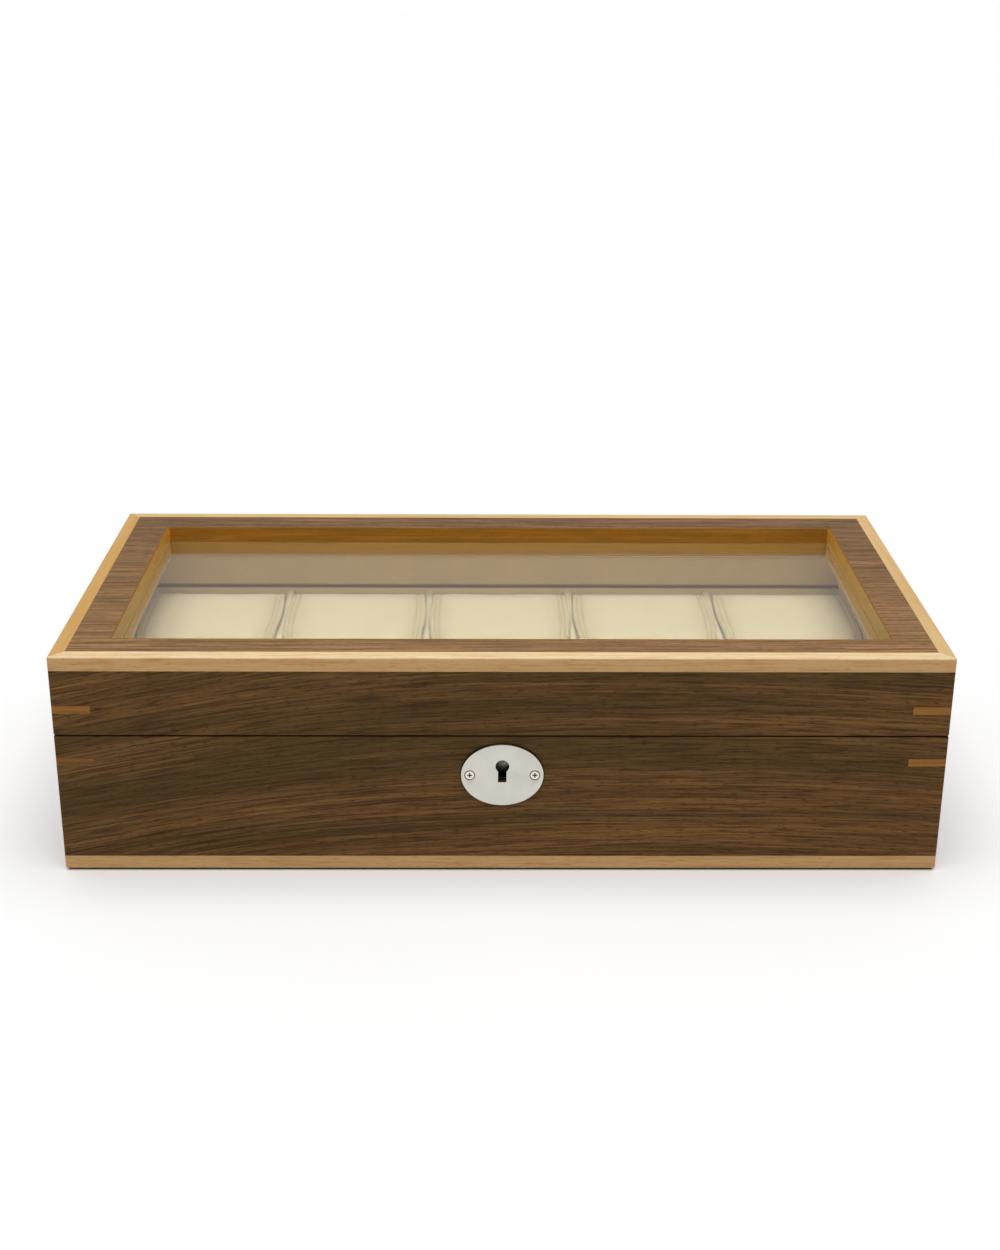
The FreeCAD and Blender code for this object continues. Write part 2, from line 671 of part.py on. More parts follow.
def cushion(row, row_way, number, step):
    """A soft block with a broad crown along its length, a rounded foot and soft ends."""
    made = slab(f"cushion_{row}_{number}", "(Sizes.cushion_width / 2)", "(Sizes.cushion_length / 2)",
                "Sizes.cushion_foot", "Sizes.cushion_crown")
    half_width = worth("Sizes.cushion_width / 2")
    crosses = 1.9 * half_width
    for end in ("crown", "foot"):
        level = worth(f"Sizes.cushion_{end}")
        fillet(made, f"Sizes.{end}_round",
               lambda edge, z=level: lies_at(edge, "Z", z) and edge.BoundBox.XLength > crosses)
    fillet(made, "Sizes.end_round",
           lambda edge: lies_at(edge, "X", half_width) or lies_at(edge, "X", -half_width))
    return move(made, (f"{step} * {CELL_PITCH}", f"{row_way} * {ROW_PLACE}", "0"))


cushions = [cushion(row, row_way, number, step) for row, row_way in (("front", -1), ("back", 1))
            for number, step in enumerate((-2, -1, 0, 1, 2), start=1)]

# --- Escutcheon --------------------------------------------------------------------------------


def oval_plate():
    """An upright oval plate with a bevelled rim, drilled for its screws and cut for the key."""
    outline = new_object("Part::Ellipse", "escutcheon_outline")
    bind(outline, MajorRadius="Sizes.plate_width / 2", MinorRadius="Sizes.plate_height / 2")
    move(outline, ("0", f"-{HALF_DEPTH}", "Sizes.plate_centre"), Rotation(Vector(1, 0, 0), 90))
    blank = new_object("Part::Extrusion", "escutcheon_blank")
    blank.Base = outline
    blank.DirMode = "Custom"
    blank.Dir = FORWARD
    blank.Solid = True
    bind(blank, LengthFwd="Sizes.plate_thick")
    doc.recompute()
    front = worth(f"-{HALF_DEPTH} - Sizes.plate_thick")
    bevelled = new_object("Part::Chamfer", "escutcheon_bevelled")
    bevelled.Base = blank
    bevel = worth("Sizes.plate_bevel")
    bevelled.Edges = [(number, bevel, bevel) for number, edge in enumerate(blank.Shape.Edges, start=1)
                      if lies_at(edge, "Y", front)]
    holes = plate_holes("escutcheon_holes", PLATE_PLACES, FORWARD, "Sizes.plate_screw_sink")
    tools = combine("MultiFuse", "escutcheon_tools", keyhole_in_plate, holes)
    return combine("Cut", "escutcheon", bevelled, tools)


escutcheon = oval_plate()

# --- Lock: case with rim plate, cap, key pin, bolt, spring and the strike in the lid ----------

CAVITY_FRONT = "(Sizes.lock_front + Sizes.lock_sheet)"
CAVITY_BACK = "(Sizes.lock_back - Sizes.lock_sheet)"
CAVITY_X = f"({LOCK_X} - Sizes.lock_sheet)"
CAVITY_FLOOR = "(Sizes.lock_floor + Sizes.lock_sheet)"
LOOP_FOOT = f"({LID_FOOT} - Sizes.loop_drop)"
EYE_FOOT = f"({LOOP_FOOT} + Sizes.loop_rim)"
EYE_SIDE = "(Sizes.loop_width - 2 * Sizes.loop_rim)"
LOOP_MIDDLES = [f"({way} * Sizes.loop_spacing / 2)" for way in BOTH_WAYS]
BAR_MIDDLE = "((Sizes.bolt_low + Sizes.bolt_high) / 2)"
POST_PLACES = (-12, 6.5)


def lock_case():
    """A shallow tray open at the back, under the slotted rim plate, with two posts for the bolt."""
    tray = block("lock_tray", (f"-{LOCK_X}", "Sizes.lock_front", "Sizes.lock_floor"),
                 (LOCK_X, "Sizes.lock_back", RIM_PLATE_FOOT))
    hollow = block("lock_hollow", (f"-{CAVITY_X}", CAVITY_FRONT, CAVITY_FLOOR),
                   (CAVITY_X, f"Sizes.lock_back + {OVERRUN}", RIM_PLATE_FOOT))
    rim_plate = block("lock_rim_plate", (f"-{RIM_PLATE_X}", "Sizes.rim_plate_front", RIM_PLATE_FOOT),
                      (RIM_PLATE_X, "Sizes.rim_plate_back", CASE_TOP))
    posts = [rod("lock_post", "Sizes.post_round", f"{CAVITY_BACK} - Sizes.lock_front",
                 (str(x), "Sizes.lock_front", BAR_MIDDLE), BACKWARD) for x in POST_PLACES]
    body = combine("MultiFuse", "lock_case_blank", combine("Cut", "lock_open_tray", tray, hollow),
                   rim_plate, *posts)
    half_x = "(Sizes.loop_thick / 2 + Sizes.lock_play)"
    slots = [block("loop_slot", (f"{middle} - {half_x}", CAVITY_FRONT, f"{RIM_PLATE_FOOT} - {OVERRUN}"),
                   (f"{middle} + {half_x}", CAVITY_BACK, f"{CASE_TOP} + {OVERRUN}"))
             for middle in LOOP_MIDDLES]
    tools = combine("MultiFuse", "lock_case_tools", keyhole_in_wood, *slots,
                    plate_holes("lock_case_holes", LOCK_PLACES, UP))
    return combine("Cut", "lock_case", body, tools)


def key_pin():
    """The pin that a hollow key turns on, riveted through the cap."""
    length = "Sizes.lock_back - Sizes.lock_front - Sizes.key_pin_recess"
    return rod("lock_key_pin", "Sizes.post_round", length,
               ("0", "Sizes.lock_back", "Sizes.keyhole_centre"), FORWARD)


def lock_cap(pin):
    """The sheet that closes the back of the tray."""
    sheet_metal = block("lock_cap_blank", (f"-{CAVITY_X}", CAVITY_BACK, CAVITY_FLOOR),
                        (CAVITY_X, "Sizes.lock_back", RIM_PLATE_FOOT))
    return combine("Cut", "lock_cap", sheet_metal, pin)


def lock_bolt():
    """A bar with two hooks that slides along X, with slots for the posts and a notch for the key."""
    front, back = f"{LOCK_Y} - Sizes.bolt_thick / 2", f"{LOCK_Y} + Sizes.bolt_thick / 2"
    slim_front, slim_back = f"{LOCK_Y} - Sizes.finger_side / 2", f"{LOCK_Y} + Sizes.finger_side / 2"
    top = f"({EYE_FOOT} + {EYE_SIDE} / 2 + Sizes.finger_side / 2)"
    pieces = [block("bolt_bar", ("-Sizes.bolt_tail", front, "Sizes.bolt_low"),
                    ("Sizes.bolt_nose", back, "Sizes.bolt_high"))]
    for middle in LOOP_MIDDLES:
        tip = f"({middle} - Sizes.loop_thick / 2 - Sizes.rest_gap)"
        neck = f"({tip} - Sizes.bolt_throw + Sizes.rest_gap / 2)"
        heel = f"({neck} - Sizes.neck_width)"
        pieces.append(block("bolt_neck", (heel, slim_front, f"Sizes.bolt_high - {OVERRUN}"),
                            (neck, slim_back, top)))
        pieces.append(block("bolt_finger", (heel, slim_front, f"{top} - Sizes.finger_side"),
                            (tip, slim_back, top)))
    front, back = f"{front} - {OVERRUN}", f"{back} + {OVERRUN}"
    cuts = [block("bolt_talon",
                  ("-Sizes.bolt_throw / 2 - Sizes.talon_half", front, f"Sizes.bolt_low - {OVERRUN}"),
                  ("-Sizes.bolt_throw / 2 + Sizes.talon_half", back,
                   "Sizes.bolt_low + Sizes.talon_deep"))]
    half = "(Sizes.post_round + Sizes.hole_play)"
    for x in POST_PLACES:
        cuts.append(block("bolt_slot",
                          (f"{x} - {half} - Sizes.bolt_throw", front, f"{BAR_MIDDLE} - {half}"),
                          (f"{x} + {half}", back, f"{BAR_MIDDLE} + {half}")))
    return combine("Cut", "lock_bolt", combine("MultiFuse", "bolt_blank", *pieces),
                   combine("MultiFuse", "bolt_cuts", *cuts))


def bolt_spring():
    """A bent leaf under the bolt's tail that keeps the bolt where the key leaves it."""
    made = new_object("PartDesign::Body", "lock_spring")
    profile = sketch(made, "leaf", "XZ", f"-{LOCK_Y}")
    thick = "Sizes.spring_thick"
    root, tip = "-Sizes.spring_root", "-Sizes.spring_tip"
    foot_end, tip_bend = f"{root} + Sizes.spring_foot", f"{tip} - Sizes.spring_tip_length"
    top = "(Sizes.bolt_low - Sizes.spring_gap)"
    draw_outline(profile, [(root, CAVITY_FLOOR), (foot_end, CAVITY_FLOOR),
                           (foot_end, f"{CAVITY_FLOOR} + {thick}"),
                           (f"{root} + 2 * {thick}", f"{CAVITY_FLOOR} + {thick}"),
                           (tip_bend, f"{top} - {thick}"), (tip, f"{top} - {thick}"),
                           (tip, top), (f"{tip_bend} - {thick}", top)])
    pad(made, profile, "Sizes.bolt_thick", both=True)
    return made


def strike():
    """The plate in the lid's rail, with two loops that hang into the lock."""
    plate = block("strike_blank", (f"-{RIM_PLATE_X}", "Sizes.rim_plate_front", LID_FOOT),
                  (RIM_PLATE_X, "Sizes.rim_plate_back", f"{LID_FOOT} + Sizes.rim_plate_thick"))
    loops, eyes = [], []
    eye_front, eye_back = f"{LOCK_Y} - {EYE_SIDE} / 2", f"{LOCK_Y} + {EYE_SIDE} / 2"
    for middle in LOOP_MIDDLES:
        left, right = f"{middle} - Sizes.loop_thick / 2", f"{middle} + Sizes.loop_thick / 2"
        loops.append(block("strike_loop", (left, f"{LOCK_Y} - Sizes.loop_width / 2", LOOP_FOOT),
                           (right, f"{LOCK_Y} + Sizes.loop_width / 2", f"{LID_FOOT} + {OVERRUN} / 2")))
        eyes.append(block("strike_eye", (f"{left} - {OVERRUN}", eye_front, EYE_FOOT),
                          (f"{right} + {OVERRUN}", eye_back, f"{EYE_FOOT} + {EYE_SIDE}")))
    tools = combine("MultiFuse", "strike_tools", *eyes, plate_holes("strike_holes", STRIKE_PLACES, DOWN))
    return combine("Cut", "lock_strike", combine("MultiFuse", "strike_looped", plate, *loops), tools)


pin_of_lock = key_pin()
lock_parts = [lock_case(), lock_cap(pin_of_lock), pin_of_lock, bolt_spring(), lock_bolt()]
lock_strike = strike()

# --- Hinges ------------------------------------------------------------------------------------


def knuckle(label, middle, number, radius, play):
    """One stretch of a hinge's barrel, with play taken off or added at its two ends."""
    start = f"{middle} - {HINGE_HALF} + {number} * Sizes.knuckle_pitch + ({play}) / 2"
    return rod(label, radius, f"Sizes.knuckle_pitch - ({play})", (start, PIN_Y, "Sizes.seam_height"),
               RIGHTWARD)


def hinge_leaves(label, low, high, first, screw_places, facing):
    """A pair of leaves, one at each hinge, with every second knuckle from the first one on."""
    leaves = []
    own, other = range(first, KNUCKLES, 2), range(1 - first, KNUCKLES, 2)
    for name, middle in HINGE_MIDDLES.items():
        start, end = f"{middle} - {HINGE_HALF}", f"{middle} + {HINGE_HALF}"
        plate = block(f"{label}_plate_{name}", (start, f"{PIN_Y} - Sizes.leaf_reach", low),
                      (end, PIN_Y, high))
        barrel = [knuckle(f"{label}_knuckle", middle, number, "Sizes.knuckle_round",
                          "Sizes.knuckle_play") for number in own]
        relief = [knuckle(f"{label}_relief", middle, number, KNUCKLE_RELIEF, "-Sizes.knuckle_play")
                  for number in other]
        bore = rod(f"{label}_bore", "Sizes.pin_round + Sizes.pin_play", f"2 * {HINGE_HALF}",
                   (start, PIN_Y, "Sizes.seam_height"), RIGHTWARD)
        holes = plate_holes(f"{label}_holes_{name}", screw_places[name], facing)
        blank = combine("MultiFuse", f"{label}_blank_{name}", plate, *barrel)
        tools = combine("MultiFuse", f"{label}_tools_{name}", bore, *relief, holes)
        leaves.append(combine("Cut", f"{label}_{name}", blank, tools))
    return combine("Compound", label, *leaves)


def hinge_pins():
    """The two pins, a little shorter than their barrels."""
    pins = []
    for name, middle in HINGE_MIDDLES.items():
        start = f"{middle} - {HINGE_HALF} + Sizes.knuckle_play / 2"
        pins.append(rod(f"hinge_pin_{name}", "Sizes.pin_round",
                        f"2 * {HINGE_HALF} - Sizes.knuckle_play",
                        (start, PIN_Y, "Sizes.seam_height"), RIGHTWARD))
    return combine("Compound", "hinge_pins", *pins)


def by_hinge(places):
    """Screw places shared out between the left and the right hinge."""
    half = len(places) // 2
    return {"left": places[:half], "right": places[half:]}


case_leaves = hinge_leaves("hinge_leaves_base", f"{CASE_TOP} - Sizes.leaf_thick", CASE_TOP, 0,
                           by_hinge(HINGE_CASE_PLACES), UP)
lid_leaves = hinge_leaves("hinge_leaves_lid", LID_FOOT, f"{LID_FOOT} + Sizes.leaf_thick", 1,
                          by_hinge(HINGE_LID_PLACES), DOWN)

fasteners = [
    screws("hinge_screws_base", HINGE_CASE_PLACES, UP),
    screws("hinge_screws_lid", HINGE_LID_PLACES, DOWN),
    screws("lock_screws", LOCK_PLACES, UP),
    screws("strike_screws", STRIKE_PLACES, DOWN),
    screws("escutcheon_screws", PLATE_PLACES, FORWARD, "Sizes.plate_screw_head",
           "Sizes.plate_screw_length"),
]

# --- Checks and output -------------------------------------------------------------------------

SUBPARTS = [*base_panels, *base_edging, case_splines, floor_panel, floor_lining, felt, base_lining,
            *dividers, *cushions, escutcheon, *lock_parts, lock_strike, *lid_rails, *lid_edging,
            lid_splines, lid_panel, lid_underframe, window_glass, upper_lipping, lower_lipping,
            lid_lining, case_leaves, lid_leaves, hinge_pins(), *fasteners]

doc.recompute()
for thing in doc.Objects:
    if {"Invalid", "Error"} & set(thing.State):
        raise RuntimeError(f"{thing.Label} failed: {thing.State}")

os.makedirs("parts", exist_ok=True)
for subpart in SUBPARTS:
    shape = subpart.Shape
    if shape.isNull() or not shape.isValid() or not shape.Solids or shape.Volume <= 0:
        raise RuntimeError(f"{subpart.Label} has no good solid")
    shape.exportStep(f"parts/{subpart.Label}.step")
    print(f"{subpart.Label}: {len(shape.Solids)} solid(s), {shape.Volume:.1f} mm3")
print(f"{len(SUBPARTS)} sub-parts")
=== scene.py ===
"""Looks of a ten-cell watch box: timber, glass, velvet cushions and small metalwork round its frame.

Laid out as an add-on. Every size is in metres, and every colour is linear light.
"""
import json
import math

import bpy
from mathutils import Matrix, Vector, noise


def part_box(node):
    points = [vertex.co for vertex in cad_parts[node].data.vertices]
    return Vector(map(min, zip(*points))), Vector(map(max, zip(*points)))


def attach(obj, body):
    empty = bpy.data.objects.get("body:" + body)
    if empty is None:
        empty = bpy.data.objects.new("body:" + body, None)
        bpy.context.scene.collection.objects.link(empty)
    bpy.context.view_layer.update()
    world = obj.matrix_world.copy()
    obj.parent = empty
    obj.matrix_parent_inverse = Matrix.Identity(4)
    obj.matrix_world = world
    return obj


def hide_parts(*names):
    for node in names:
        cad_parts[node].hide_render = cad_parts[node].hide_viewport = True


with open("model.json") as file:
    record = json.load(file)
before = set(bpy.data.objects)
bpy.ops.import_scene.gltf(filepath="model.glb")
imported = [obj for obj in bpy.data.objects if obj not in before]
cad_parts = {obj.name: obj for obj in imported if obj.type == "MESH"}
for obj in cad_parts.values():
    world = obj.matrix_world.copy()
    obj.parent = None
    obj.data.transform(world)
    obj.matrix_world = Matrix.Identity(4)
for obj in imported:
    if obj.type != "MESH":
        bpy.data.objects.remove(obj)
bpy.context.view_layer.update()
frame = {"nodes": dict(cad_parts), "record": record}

bl_info = {
    "name": "Watch Box Looks",
    "version": (1, 0, 0),
    "blender": (4, 5, 0),
    "location": "3D View > Sidebar > Watch Box",
    "description": "Timber, glass, velvet cushions and small metalwork of a watch box",
    "category": "Object",
}

MM = 0.001
NODES = frame["nodes"]
RECORD = frame["record"]
BODY_OF = {node: body for body, nodes in RECORD["behaviour"]["bodies"].items() for node in nodes}
SLOT_OF = {part["node"]: part["material_slot"] for part in RECORD["subparts"]}
SIDES = ("front", "right", "back", "left")

# --- Sizes and colours that a user would change -------------------------------------------------


def colour(name, description, value):
    """A colour property with its default."""
    return bpy.props.FloatVectorProperty(name=name, description=description, default=value,
                                         subtype="COLOR", size=3, min=0.0, soft_max=1.0)


def length(name, description, value):
    """A length property with its default in metres."""
    return bpy.props.FloatProperty(name=name, description=description, default=value, min=0.0,
                                   precision=5, unit="LENGTH", subtype="DISTANCE")


class WatchBoxColours(bpy.types.PropertyGroup):
    """Colours of the box's woods, cloths and metals."""
    walnut_pale: colour("Walnut, pale", "Pale streaks of the walnut veneer", (0.245, 0.128, 0.043))
    walnut_warm: colour("Walnut, warm", "Reddish ground of the walnut veneer", (0.134, 0.062, 0.020))
    walnut_cool: colour("Walnut, cool", "Olive bands of the walnut veneer", (0.090, 0.051, 0.016))
    walnut_dark: colour("Walnut, dark", "Fibres and dark lines of the veneer", (0.030, 0.016, 0.005))
    # A paler veneer for the top, with painted light: paler and greyer where the top takes more light
    # than the sides.
    walnut_top_and_light: colour("Walnut, top", "Tint of the paler veneer of the top", (1.75, 1.88, 2.65))
    top_front: colour("Walnut, top front", "Tint of the top's veneer at the front", (1.45, 1.40, 1.30))
    maple_pale: colour("Maple, pale", "Pale lines of the edging", (0.83, 0.645, 0.385))
    maple_deep: colour("Maple, deep", "Deeper lines of the edging", (0.56, 0.32, 0.095))
    # Painted shade: darkens the edging's upright faces below its lit top.
    maple_side_shade: colour("Maple, sides", "Tint of the edging's upright faces", (0.665, 0.53, 0.395))
    spline_brown: colour("Spline", "Golden-brown corner splines", (0.28, 0.12, 0.022))
    # Tints the case's left-hand splines darker and less orange.
    spline_left_tint: colour("Spline, faded", "Tint of the case's left-hand splines", (0.66, 0.70, 0.95))
    lipping_gold: colour("Lipping", "Golden-brown lipping above the glass", (0.42, 0.18, 0.018))
    lipping_pale: colour("Lipping, pale", "Paler lipping below the glass", (0.37, 0.225, 0.085))
    # Painted light on the upper lipping's side strips, which take more light than its back strip.
    lipping_side_light: colour("Lipping, sides", "Tint of the upper lipping's sides", (2.0, 2.3, 2.7))
    # Painted light on the lower lipping's side strips.
    lower_side_light: colour("Lipping, lower sides", "Tint of the lower lipping's sides", (2.0, 2.5, 3.6))
    board: colour("Board", "Plain board under the veneer", (0.44, 0.30, 0.17))
    velvet: colour("Velvet", "Cream velvet of the cushions and dividers", (0.58, 0.478, 0.317))
    velvet_shade: colour("Velvet, shade", "Cream velvet where its pile lies away", (0.53, 0.43, 0.278))
    lining: colour("Lining", "Beige flock of the linings", (0.78, 0.585, 0.32))
    lining_shade: colour("Lining, shade", "Beige flock in its hollows", (0.69, 0.51, 0.27))
    # Painted shade on the lid lining's flange under the lipping.
    flange_shade: colour("Flange", "Tint of the lid lining's flange", (0.60, 0.46, 0.32))
    felt: colour("Felt", "Dark felt under the box", (0.030, 0.022, 0.016))
    nickel: colour("Nickel", "Satin nickel of the plate and hinges", (0.65, 0.64, 0.57))
    screw: colour("Screw", "Warmer nickel of the screws", (0.84, 0.76, 0.66))
    steel: colour("Steel", "Plain steel of the lock", (0.46, 0.45, 0.43))
    # Painted shade: the key pin's steel is darkened because the pin sits in shade inside the lock.
    key_pin_shade: colour("Key pin", "Dark steel of the lock's key pin", (0.184, 0.180, 0.172))
    floor: colour("Floor", "Pale floor under the box", (0.93, 0.93, 0.93))
    # Painted shade on the cushions' velvet at their ends beside the dividers, and at their seams,
    # where the stitching also presses the pile.
    pressed_pile_and_shade: colour("Fold", "Tint of the velvet at its seams and ends", (0.62, 0.55, 0.42))
    # Painted shadow on the linings' edges in the gap where lid and case meet.
    joint_shadow: colour("Joint", "Tint of the linings where lid and case meet", (0.34, 0.24, 0.10))
    # Painted shadow: darkens the walnut along the seam where lid and case meet.
    seam_shadow: colour("Seam line", "Tint of the walnut where lid and case meet", (0.46, 0.40, 0.34))
    # Painted shade on whatever of the plate and its screws lies behind the plate's face, such as its
    # edges, countersinks and keyhole.
    recess_shade: colour("Recess", "Dark film in the hollows of the plate", (0.035, 0.024, 0.016))


class WatchBoxSizes(bpy.types.PropertyGroup):
    """Sizes of the details that the frame doesn't hold."""
    metal_ease: length("Metal edge", "Rounding of small metal edges", 0.12 * MM)
    cloth_ease: length("Cloth edge", "Rounding of lined edges", 0.8 * MM)
    crown_round: length("Crown rounding", "Rounding of a cushion's upper long edges", 12 * MM)
    foot_round: length("Foot rounding", "Rounding of a cushion's lower long edges", 7 * MM)
    end_round: length("End rounding", "Rounding of a cushion's two ends", 1.5 * MM)
    # How far the painted shade at a cushion's ends reaches in.
    end_reach: length("End reach", "How far from its ends a cushion's velvet darkens", 11 * MM)
    seam_inset: length("Seam inset", "How far a cushion's end seams lie from its ends", 2.6 * MM)
    seam_width: length("Seam width", "From the middle of a seam to its outside", 1.0 * MM)
    seam_depth: length("Seam depth", "How deep the two lines of a seam sink", 0.5 * MM)
    swell_crown: length("Swell, crown", "How far a cushion's crown may swell", 1.0 * MM)
    swell_side: length("Swell, side", "How far a cushion may swell inside its cell", 0.4 * MM)
    swell_over: length("Swell, over", "How far a crown is drawn out over a divider", 2.6 * MM)
    swell_end: length("Swell, end", "How far a cushion's ends swell towards the dividers", 0.6 * MM)
    sag: length("Sag", "How far a cushion's long edges sag in the middle", 0.5 * MM)
    wrinkle: length("Unevenness", "How uneven each cushion is", 0.3 * MM)


def colours():
    """The colours as they are set now."""
    return bpy.context.scene.watch_box_colours


def sizes():
    """The sizes as they are set now."""
    return bpy.context.scene.watch_box_sizes


# --- Modelling helpers --------------------------------------------------------------------------


def activate(piece):
    """Makes one object the only selected one, and the active one."""
    for other in bpy.context.selected_objects:
        other.select_set(False)
    bpy.context.view_layer.objects.active = piece
    piece.select_set(True)


def primitive(kind, name, **where):
    """Adds a mesh primitive by its operator, and names it."""
    for other in bpy.context.selected_objects:
        other.select_set(False)
    getattr(bpy.ops.mesh, f"primitive_{kind}_add")(**where)
    piece = bpy.context.object
    piece.name = piece.data.name = name
    return piece


def settle(piece):
    """Puts an object's place, turn and size into its mesh."""
    activate(piece)
    bpy.ops.object.transform_apply(location=True, rotation=True, scale=True)
    return piece


def edit(piece, mode, test, operation, **settings):
    """Runs an edit-mode operator on the vertices, edges or faces that pass a test."""
    mesh = piece.data
    parts = {"VERT": mesh.vertices, "EDGE": mesh.edges, "FACE": mesh.polygons}
    for elements in parts.values():
        elements.foreach_set("select", [False] * len(elements))
    for element in parts[mode]:
        element.select = test(element)
    activate(piece)
    bpy.context.tool_settings.mesh_select_mode = [mode == kind for kind in parts]
    bpy.ops.object.mode_set(mode="EDIT")
    operation(**settings)
    bpy.ops.object.mode_set(mode="OBJECT")
    return piece


def everything(element):
    """A test that any part of a mesh passes."""
    return True


def modify(piece, kind, **settings):
    """Adds a modifier with its settings and applies it."""
    activate(piece)
    modifier = piece.modifiers.new(kind.title(), kind)
    for name, value in settings.items():
        setattr(modifier, name, value)
    bpy.ops.object.modifier_apply(modifier=modifier.name)
    return piece


def smooth(piece, degrees=32):
    """Shades a piece smooth, but for edges sharper than an angle."""
    activate(piece)
    bpy.ops.object.shade_smooth_by_angle(angle=math.radians(degrees))
    return piece


def duplicate(piece, name):
    """A copy of a piece with a mesh of its own."""
    copy = piece.copy()
    copy.data = piece.data.copy()
    copy.name = copy.data.name = name
    bpy.context.scene.collection.objects.link(copy)
    return copy


def merged_copy(node, name):
    """A copy of a frame node with its loose triangles joined and its flat faces made whole."""
    piece = bpy.data.objects.new(name, NODES[node].data.copy())
    piece.data.name = name
    bpy.context.scene.collection.objects.link(piece)
    if piece.data.has_custom_normals:
        activate(piece)
        bpy.ops.mesh.customdata_custom_splitnormals_clear()
    edit(piece, "VERT", everything, bpy.ops.mesh.remove_doubles, threshold=1e-6)
    edit(piece, "VERT", everything, bpy.ops.mesh.dissolve_limited, angle_limit=math.radians(0.5))
    return piece


def place_piece(piece, node, material):
    """Gives a finished piece its material and body, and hides the frame node that it stands for."""
    piece.data.materials.clear()
    piece.data.materials.append(material)
    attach(piece, BODY_OF[node])
    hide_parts(node)
    return piece


def eased_copy(node, material, width, segments=2):
    """A frame node's shape with its sharp edges rounded a little, standing in its place."""
    piece = merged_copy(node, f"{node}_eased")
    modify(piece, "BEVEL", width=width, segments=segments, limit_method="ANGLE",
           angle_limit=math.radians(40), use_clamp_overlap=True)
    smooth(piece)
    return place_piece(piece, node, material)


def coat(node, material):
    """Gives a frame node its material, and leaves its mesh alone."""
    for slot in NODES[node].material_slots:
        slot.material = material


# --- Shader helpers -----------------------------------------------------------------------------


class Net:
    """Short ways to add nodes to one tree and join them."""

    def __init__(self, tree):
        self.tree = tree

    def add(self, kind, inputs=(), **settings):
        """A new node with its settings and its inputs, each a value or another node's output."""
        node = self.tree.nodes.new(kind)
        for name, value in settings.items():
            setattr(node, name, value)
        for key, value in dict(inputs).items():
            self.feed(node.inputs[key], value)
        return node

    def feed(self, socket, value):
        """Joins another node's output to an input, or sets the input to a plain value."""
        if isinstance(value, bpy.types.NodeSocket):
            self.tree.links.new(value, socket)
        else:
            socket.default_value = value

    def math(self, operation, first, second=0.0, third=0.0):
        """The result of a sum on up to three values."""
        node = self.add("ShaderNodeMath", {0: first, 1: second, 2: third}, operation=operation)
        return node.outputs[0]

    def stretch(self, vector, scale):
        """A vector multiplied axis by axis."""
        return self.add("ShaderNodeVectorMath", {0: vector, 1: scale}, operation="MULTIPLY").outputs[0]

    def noise(self, vector, scale=1.0, detail=2.0, roughness=0.5):
        """Soft noise about 0.5."""
        inputs = {"Vector": vector, "Scale": scale, "Detail": detail, "Roughness": roughness}
        return self.add("ShaderNodeTexNoise", inputs).outputs["Fac"]

    def remap(self, value, low, high, to_low=0.0, to_high=1.0):
        """A value moved from one range to another, and held inside it."""
        inputs = {"Value": value, "From Min": low, "From Max": high, "To Min": to_low,
                  "To Max": to_high}
        return self.add("ShaderNodeMapRange", inputs).outputs["Result"]

    def mix(self, factor, first, second, blend="MIX"):
        """A blend of two colours."""
        node = self.add("ShaderNodeMix", {0: factor, 6: first, 7: second}, data_type="RGBA",
                        blend_type=blend)
        return node.outputs[2]

    def bump(self, height, strength, distance):
        """A normal tilted by a height."""
        inputs = {"Height": height, "Strength": strength, "Distance": distance}
        return self.add("ShaderNodeBump", inputs).outputs["Normal"]


def new_group(name, inputs, outputs):
    """An empty node group with named sockets, its net, and those sockets as they are inside it."""
    group = bpy.data.node_groups.new(name, "ShaderNodeTree")
    for in_out, sockets in (("INPUT", inputs), ("OUTPUT", outputs)):
        for label, kind in sockets.items():
            group.interface.new_socket(name=label, in_out=in_out, socket_type=f"NodeSocket{kind}")
    net = Net(group)
    return group, net, net.add("NodeGroupInput").outputs, net.add("NodeGroupOutput").inputs


def shared_group(name, build):
    """A node group by name, built the first time it is asked for."""
    return bpy.data.node_groups.get(name) or build(name)


SURFACE = {"Color": "Color", "Roughness": "Float", "Height": "Float"}

# Features of the timber in a metre, across the grain and along it.
STREAKS = (800.0, 10.0)
FIBRES = (1400.0, 50.0)
PORES = (2000.0, 260.0)
RINGS = (75.0, 2.0)
RINGS_EACH = 16.0  # dark ring lines in the full range of the ring noise
ARCH_X = 0.075  # where the arch of the grain has its crown
SWAY = 0.010  # how far the grain wanders


